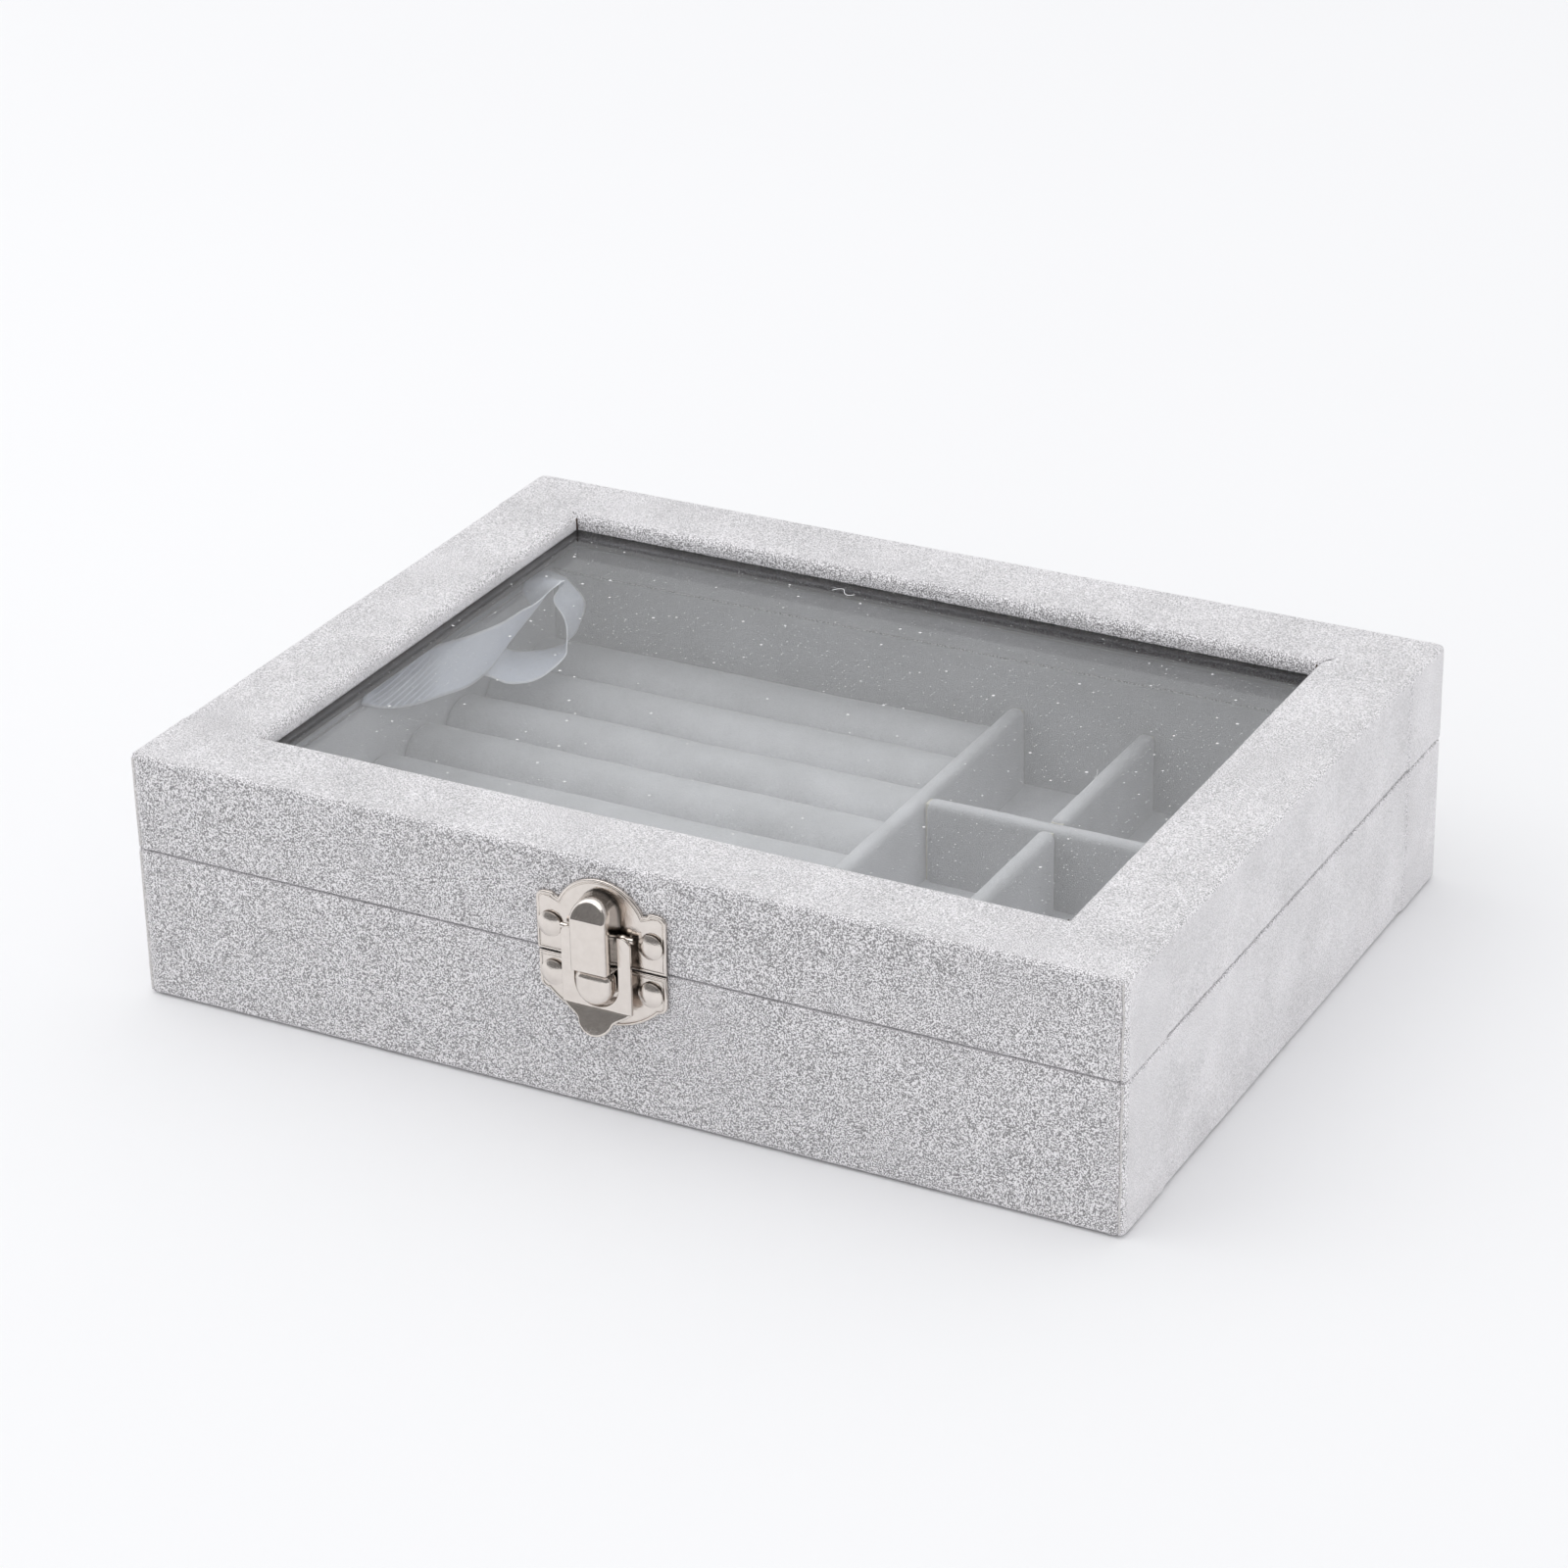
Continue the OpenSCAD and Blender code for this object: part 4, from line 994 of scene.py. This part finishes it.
upper_half = [(13.1, LID_RIM)] + arc(11.4, 40.6, 1.7, 0, 90) + arc(10.1, 41.5, 0.8, 90, 158, 6)
upper_half += arc(0, 37.3, 9.5, 26, 90, 22)[:-1]
metal_piece("upper_plate", plate(mirrored_outline(upper_half)), "lid", "latch_upper_plate")
lower_half = arc(0, 33.9, 15.7, 270, 315, 20)[1:] + arc(11.1, 24.6, 1.8, 270, 360)[1:]
lower_half.append((12.9, BASE_H))
keeper = stamped([[(-3, 19.1), (3, 19.1), (3, 21.7), (-3, 21.7)]], 0.6, 1.6, 0.2)
lower_plate = plate(mirrored_outline(lower_half)) + [keeper]
metal_piece("lower_plate", lower_plate, "base", "latch_lower_plate")

NAIL = [(0, -1.5), (0.45, -1.4), (0.7, -1.1), (0.7, 0.88), (2.15, 0.9), (2.34, 1.05), (2.4, 1.15)]
NAIL += [(2.4, 1.4), (2.39, 1.43), (2.37, 1.45), (2.34, 1.465)]
NAIL += [(2.33 * (1 - t), 1.47 + 0.66 * (1 - (1 - t) ** 2)) for t in np.linspace(0, 1, 16) ** 1.7]
for row, body, x, z in (("upper", "lid", 10.2, 36.1), ("lower", "base", 9.9, 26.5)):
    heads = [turned(NAIL, side * x, z) for side in (-1, 1)]
    metal_piece(f"{row}_nails", heads, body, f"latch_{row}_nails")


BLOCK_FOOT, BLOCK_FACE, BLOCK_ROUND = 0.85, 6.0, 0.85
FACET_Z, FACET_H, FACET_LEAN = 40.95, 3.9, 1.6


def block_ring(narrow, out, drop=0.0):
    """One ring round the catch block, narrowed all round. Its top leans back over the facet.
    drop is how far the ring lies behind the face."""
    half = arc(3.2, 30.95, max(0.8 - narrow, 0.02), 270, 360, 5)
    half += [(4 - narrow, z) for z in (33.0, 36.0, 39.0, 40.9, 41.0)]
    half += arc(0, 41, 4 - narrow, 4, 90, 16)[:-1]
    half = [(min(x, 4 - narrow), z) for x, z in half] + [(0, 45 - narrow)]
    ring = half + [(-x, z) for x, z in reversed(half[:-1])]
    leaning = [out - max(0, z - FACET_Z) * FACET_LEAN / FACET_H - drop for x, z in ring]
    return [(x, far if out else BLOCK_FOOT, z) for (x, z), far in zip(ring, leaning)]


rings = [block_ring(0, 0), block_ring(0.36, BLOCK_FACE, BLOCK_ROUND)]
for a in np.radians(np.linspace(15, 90, 6)):
    narrow, drop = 0.36 + 0.7 * (1 - math.cos(a)), BLOCK_ROUND * (1 - math.sin(a))
    rings.append(block_ring(narrow, BLOCK_FACE, drop))
count = len(rings[0])
points = [(x * MM, -HALF_Y - out * MM, z * MM) for ring in rings for x, out, z in ring]
faces = [
    (a, b, b + count, a + count)
    for k in range(len(rings) - 1)
    for n in range(count)
    for a, b in [(k * count + n, k * count + (n + 1) % count)]
]
last = (len(rings) - 1) * count
low_end = [n for n in range(count) if rings[-1][n][2] < FACET_Z]
right_low = max(n for n in low_end if n < count // 2)
left_low = min(n for n in low_end if n > count // 2)
faces.append(tuple(last + n for n in list(range(left_low, count)) + list(range(0, right_low + 1))))
faces.append(tuple(last + n for n in (right_low, right_low + 1, left_low - 1, left_low)))
faces.append(tuple(last + n for n in range(right_low + 1, left_low)))
faces.append(tuple(range(count)))
block = meshed("block", points, faces)
NOSE_Z = 27.3
nose_half = arc(0, NOSE_Z, 3.6, 270, 360, 20)[1:] + arc(2.1, 28.6, 1.5, 0, 90, 8)
nose = stamped([mirrored_outline(nose_half)], 1.4, 5.0, 1.25)
neck = stamped([[(-3, 29.5), (3, 29.5), (3, 31.2), (-3, 31.2)]], 1.6, 3.4, 0.2)
metal_piece("catch_block", [block, nose, neck], "lid", "latch_catch_block")

FLAP_BACK, FLAP_FRONT, FOLD_Z = 2.35, 3.15, 22.5
PIN_OUT, PIN_Z = 2.1, 37.0
hook = arc(5.3, 35.92, 1.7, 0, 90) + [(4.4, 37.62)]
window = arc(0, NOSE_Z, 4.4, 360, 270, 20)
flap_half = [(7.0, FOLD_Z)] + hook + window[:-1]
strap = stamped([mirrored_outline(flap_half)], FLAP_BACK, FLAP_FRONT, 0.2)
tongue_half = arc(0, -1.9, 3.6, 270, 345, 22)[1:] + [(3.75, -2.5), (4.2, -2.12), (4.8, -1.76)]
tongue_half += [(5.5, -1.35), (6.1, -0.95), (6.6, -0.5), (7.0, 0.0)]
tongue = stamped([mirrored_outline(tongue_half)], 0, FLAP_FRONT - FLAP_BACK, 0.36)
from_wall = Matrix.Translation((0, HALF_Y, 0))
fold = Matrix.Translation((0, -HALF_Y - FLAP_BACK * MM, FOLD_Z * MM))
tongue.transform(fold @ Matrix.Rotation(math.radians(-25), 4, "X") @ from_wall)
EYE = [(0, 4.06), (0.7, 4.08), (0.8, 4.2), (0.82, 5.1), (0.75, 5.5), (0.6, 5.8)]
EYE += [(0.35, 5.95), (0, 6.0)]
pin = Matrix.Translation((0, -HALF_Y - PIN_OUT * MM, PIN_Z * MM))
eyes = []
for side in (-1, 1):
    eye = turned(EYE, 0, 0)
    eye.transform(pin @ Matrix.Rotation(side * math.pi / 2, 4, "Z") @ from_wall)
    eyes.append(eye)
metal_piece("flap", [strap, tongue, *eyes], "flap", "latch_flap")
dress(nickel, "latch_pin")


# ---- hinges ----
# Two small nickel-plated butt hinges, nailed to the outside of the back wall. One leaf of
# each is on the base and one on the lid, and a pin runs through their knuckles.
def fine_copy(node, name, body, edge):
    """A packed metal part with its sharp edges rounded over."""
    shape = bmesh.new()
    shape.from_mesh(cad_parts[node].data)
    bmesh.ops.remove_doubles(shape, verts=shape.verts, dist=1e-6)
    flat = math.radians(1.0)
    bmesh.ops.dissolve_limit(shape, angle_limit=flat, verts=shape.verts, edges=shape.edges)
    mesh = bpy.data.meshes.new(name)
    shape.to_mesh(mesh)
    shape.free()
    plated(name, mesh, body, node, edge)


fine_copy("hinge_base_leaves", "base_leaves", "base", 0.12)
fine_copy("hinge_lid_leaves", "lid_leaves", "lid", 0.12)
fine_copy("hinge_base_nails", "base_leaf_nails", "base", 0.1)
fine_copy("hinge_lid_nails", "lid_leaf_nails", "lid", 0.1)
dress(nickel, "hinge_pins")

# ---- ribbon ----
# A narrow satin ribbon, glued to the left lining of the lid and of the base, keeps the lid
# from falling back. With the lid shut it folds into a loop beside the rolls.
sheen = {"Sheen_Weight": 0.35, "Sheen_Roughness": 0.3}
satin = Finish("satin_ribbon", Roughness=0.38, Specular_IOR_Level=0.55, **sheen)
across_ribbon = satin.attribute("across")
along_ribbon = satin.attribute("along")
threads = (along_ribbon * 1500.0).sine()
from_middle = across_ribbon - 0.5
edge_rib = from_middle.math("ABSOLUTE", from_middle, None).rise(0.43, 0.48)
silk = satin.mixed(satin.grain(0.004, detail=2), grey(224, 229, 243), grey(235, 239, 249))
creases = (across_ribbon * 45.0 - along_ribbon * 2800.0).sine()
pleated_end_and_painted_shade = along_ribbon.rise(0.001, 0.004) * (1 - along_ribbon.rise(0.013, 0.02))
pleated_end_and_painted_shade = pleated_end_and_painted_shade * (1 - across_ribbon.rise(0.6, 1.0))
creased = creases.rise(0.1, 0.9) * pleated_end_and_painted_shade
# Painted shade: between the creases near the lid end the satin is painted darker.
silk = satin.mixed(0.8 * (pleated_end_and_painted_shade - creased), silk, grey(170, 174, 187))
satin.feed(Base_Color=satin.mixed(edge_rib, silk, grey(243, 244, 250)))
satin.bumped(threads * 0.02 + edge_rib * 0.5 + creased * 0.5, 0.00012)

RIBBON_FROM = np.array([-95.8, 70.8, 30.3])
UPPER_EDGE = np.array([
    [0.5, -69, 9.5], [1.5, -63, 7.5], [3.5, -56.5, 6], [5.7, -52.6, 5.9], [7.5, -45.2, 5],
    [9.7, -38.5, 5], [11.7, -36.6, 6.2], [13.5, -35.1, 7.5], [14.8, -33.4, 8.1],
    [15.5, -31.3, 8.6], [16.1, -29.3, 9.4], [16.5, -27.4, 9.9], [16.7, -25.5, 10],
    [16.9, -24.1, 10.2], [16.7, -23.1, 9.7], [16.2, -23, 8.8], [15.2, -23.4, 7.6],
    [14.6, -24.4, 6.3], [14.7, -24.3, 4.7], [15.7, -23.6, 2.6], [16.7, -23.7, 0.8],
    [17.6, -24.8, -0.9], [19, -27.4, -2.8], [19.5, -29.8, -4.4], [16.2, -34.5, -7.6],
    [11.4, -37.9, -8.2], [6.1, -39.5, -6.7], [2, -44, -6.6], [0.5, -49, -7.2],
])
LOWER_EDGE = np.array([
    [0.5, -76, 1], [1.8, -69, -2.5], [3.8, -62.5, -4.2], [6.8, -57.1, -4], [8.3, -49, -4.9],
    [7.6, -40.5, -5.4], [7.8, -35.2, -3.6], [8.5, -32, -1.5], [9.2, -28.7, 0.3],
    [9.4, -26, 1.7], [9.2, -24.7, 3.1], [8.1, -25.2, 5.2], [7.8, -25.5, 7.7], [8, -24.2, 9.5],
    [8.1, -20.5, 9.3], [8.9, -16.6, 8.1], [11.1, -14, 6], [13.5, -13.8, 4.1],
    [15.5, -13.9, 1.8], [15.1, -13.4, -1.1], [14.5, -14.1, -3.5], [14.2, -15.5, -5.3],
    [13.8, -18.1, -6.2], [13.5, -20.3, -6.4], [10.2, -25.5, -6.1], [5.9, -28.9, -5.2],
    [2.3, -31.2, -1.7], [0.8, -37.5, 0], [0.5, -45, 1.5],
])


def flowing(places, steps):
    """A smooth line through the places."""
    ends = np.vstack([2 * places[0] - places[1], places, 2 * places[-1] - places[-2]])
    line = []
    for k in range(1, len(ends) - 2):
        a, b, c, d = ends[k - 1 : k + 3]
        for t in np.arange(steps) / steps:
            bend, twist = 2 * a - 5 * b + 4 * c - d, 3 * b - a - 3 * c + d
            line.append(0.5 * (2 * b + (c - a) * t + bend * t**2 + twist * t**3))
    return np.array(line + [places[-1]])


upper, lower = (flowing(e, 8) + RIBBON_FROM for e in (UPPER_EDGE, LOWER_EDGE))
middle_line = (upper + lower) / 2
run = np.concatenate([[0], np.cumsum(np.linalg.norm(np.diff(middle_line, axis=0), axis=1))])
RIBBON_W, RIBBON_L, HALF_THICK = 10.0, float(run[-1]), 0.09
ACROSS = np.linspace(0, 1, 15)
rows = []
for k in range(len(run)):
    ahead = middle_line[min(k + 1, len(run) - 1)] - middle_line[max(k - 1, 0)]
    width = upper[k] - lower[k]
    facing = np.cross(ahead, width)
    facing /= np.linalg.norm(facing)
    row = []
    for a in ACROSS:
        crown = 0.35 * math.sin(math.pi * a) * math.sin(math.pi * min(run[k] / 15, 1) / 2)
        pleat = 0.15 * math.sin(a * 20 - run[k] * 1.25) * max(0, 1 - run[k] / 15)
        row.append(lower[k] + width * a + facing * (crown + pleat))
    rows.append((row, facing))
folded, flat, faces = [], [], []
for thick in (HALF_THICK, -HALF_THICK):
    for (row, facing), s in zip(rows, run):
        for a, p in zip(ACROSS, row):
            folded.append(tuple((p + facing * thick) * MM))
            flat.append((a * RIBBON_W * MM, s * MM, thick * MM))
wide, long = len(ACROSS), len(run)
for layer in (0, 1):
    for i in range(long - 1):
        for j in range(wide - 1):
            a = (layer * long + i) * wide + j
            b = a + wide
            faces.append((a, a + 1, b + 1, b) if layer else (a, b, b + 1, a + 1))
under = wide * long
sides = [(i * wide + j, i * wide + j + wide) for i in range(long - 1) for j in (0, wide - 1)]
sides += [(i * wide + j, i * wide + j + 1) for i in (0, long - 1) for j in range(wide - 1)]
faces += [(a, b, b + under, a + under) for a, b in sides]
ribbon_mesh = meshed("ribbon", flat, faces)
for name, values in (
    ("across", [a for _ in (0, 1) for _ in run for a in ACROSS]),
    ("along", [s * MM for _ in (0, 1) for s in run for _ in ACROSS]),
):
    ribbon_mesh.attributes.new(name, "FLOAT", "POINT").data.foreach_set("value", values)
ribbon = settled("ribbon", ribbon_mesh, satin)
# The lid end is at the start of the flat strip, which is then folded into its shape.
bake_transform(ribbon)
assert len(ribbon.data.vertices) == len(folded)
ribbon.data.vertices.foreach_set("co", np.array(folded, np.float32).ravel())
ribbon.data.update()
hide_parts("lid_ribbon")
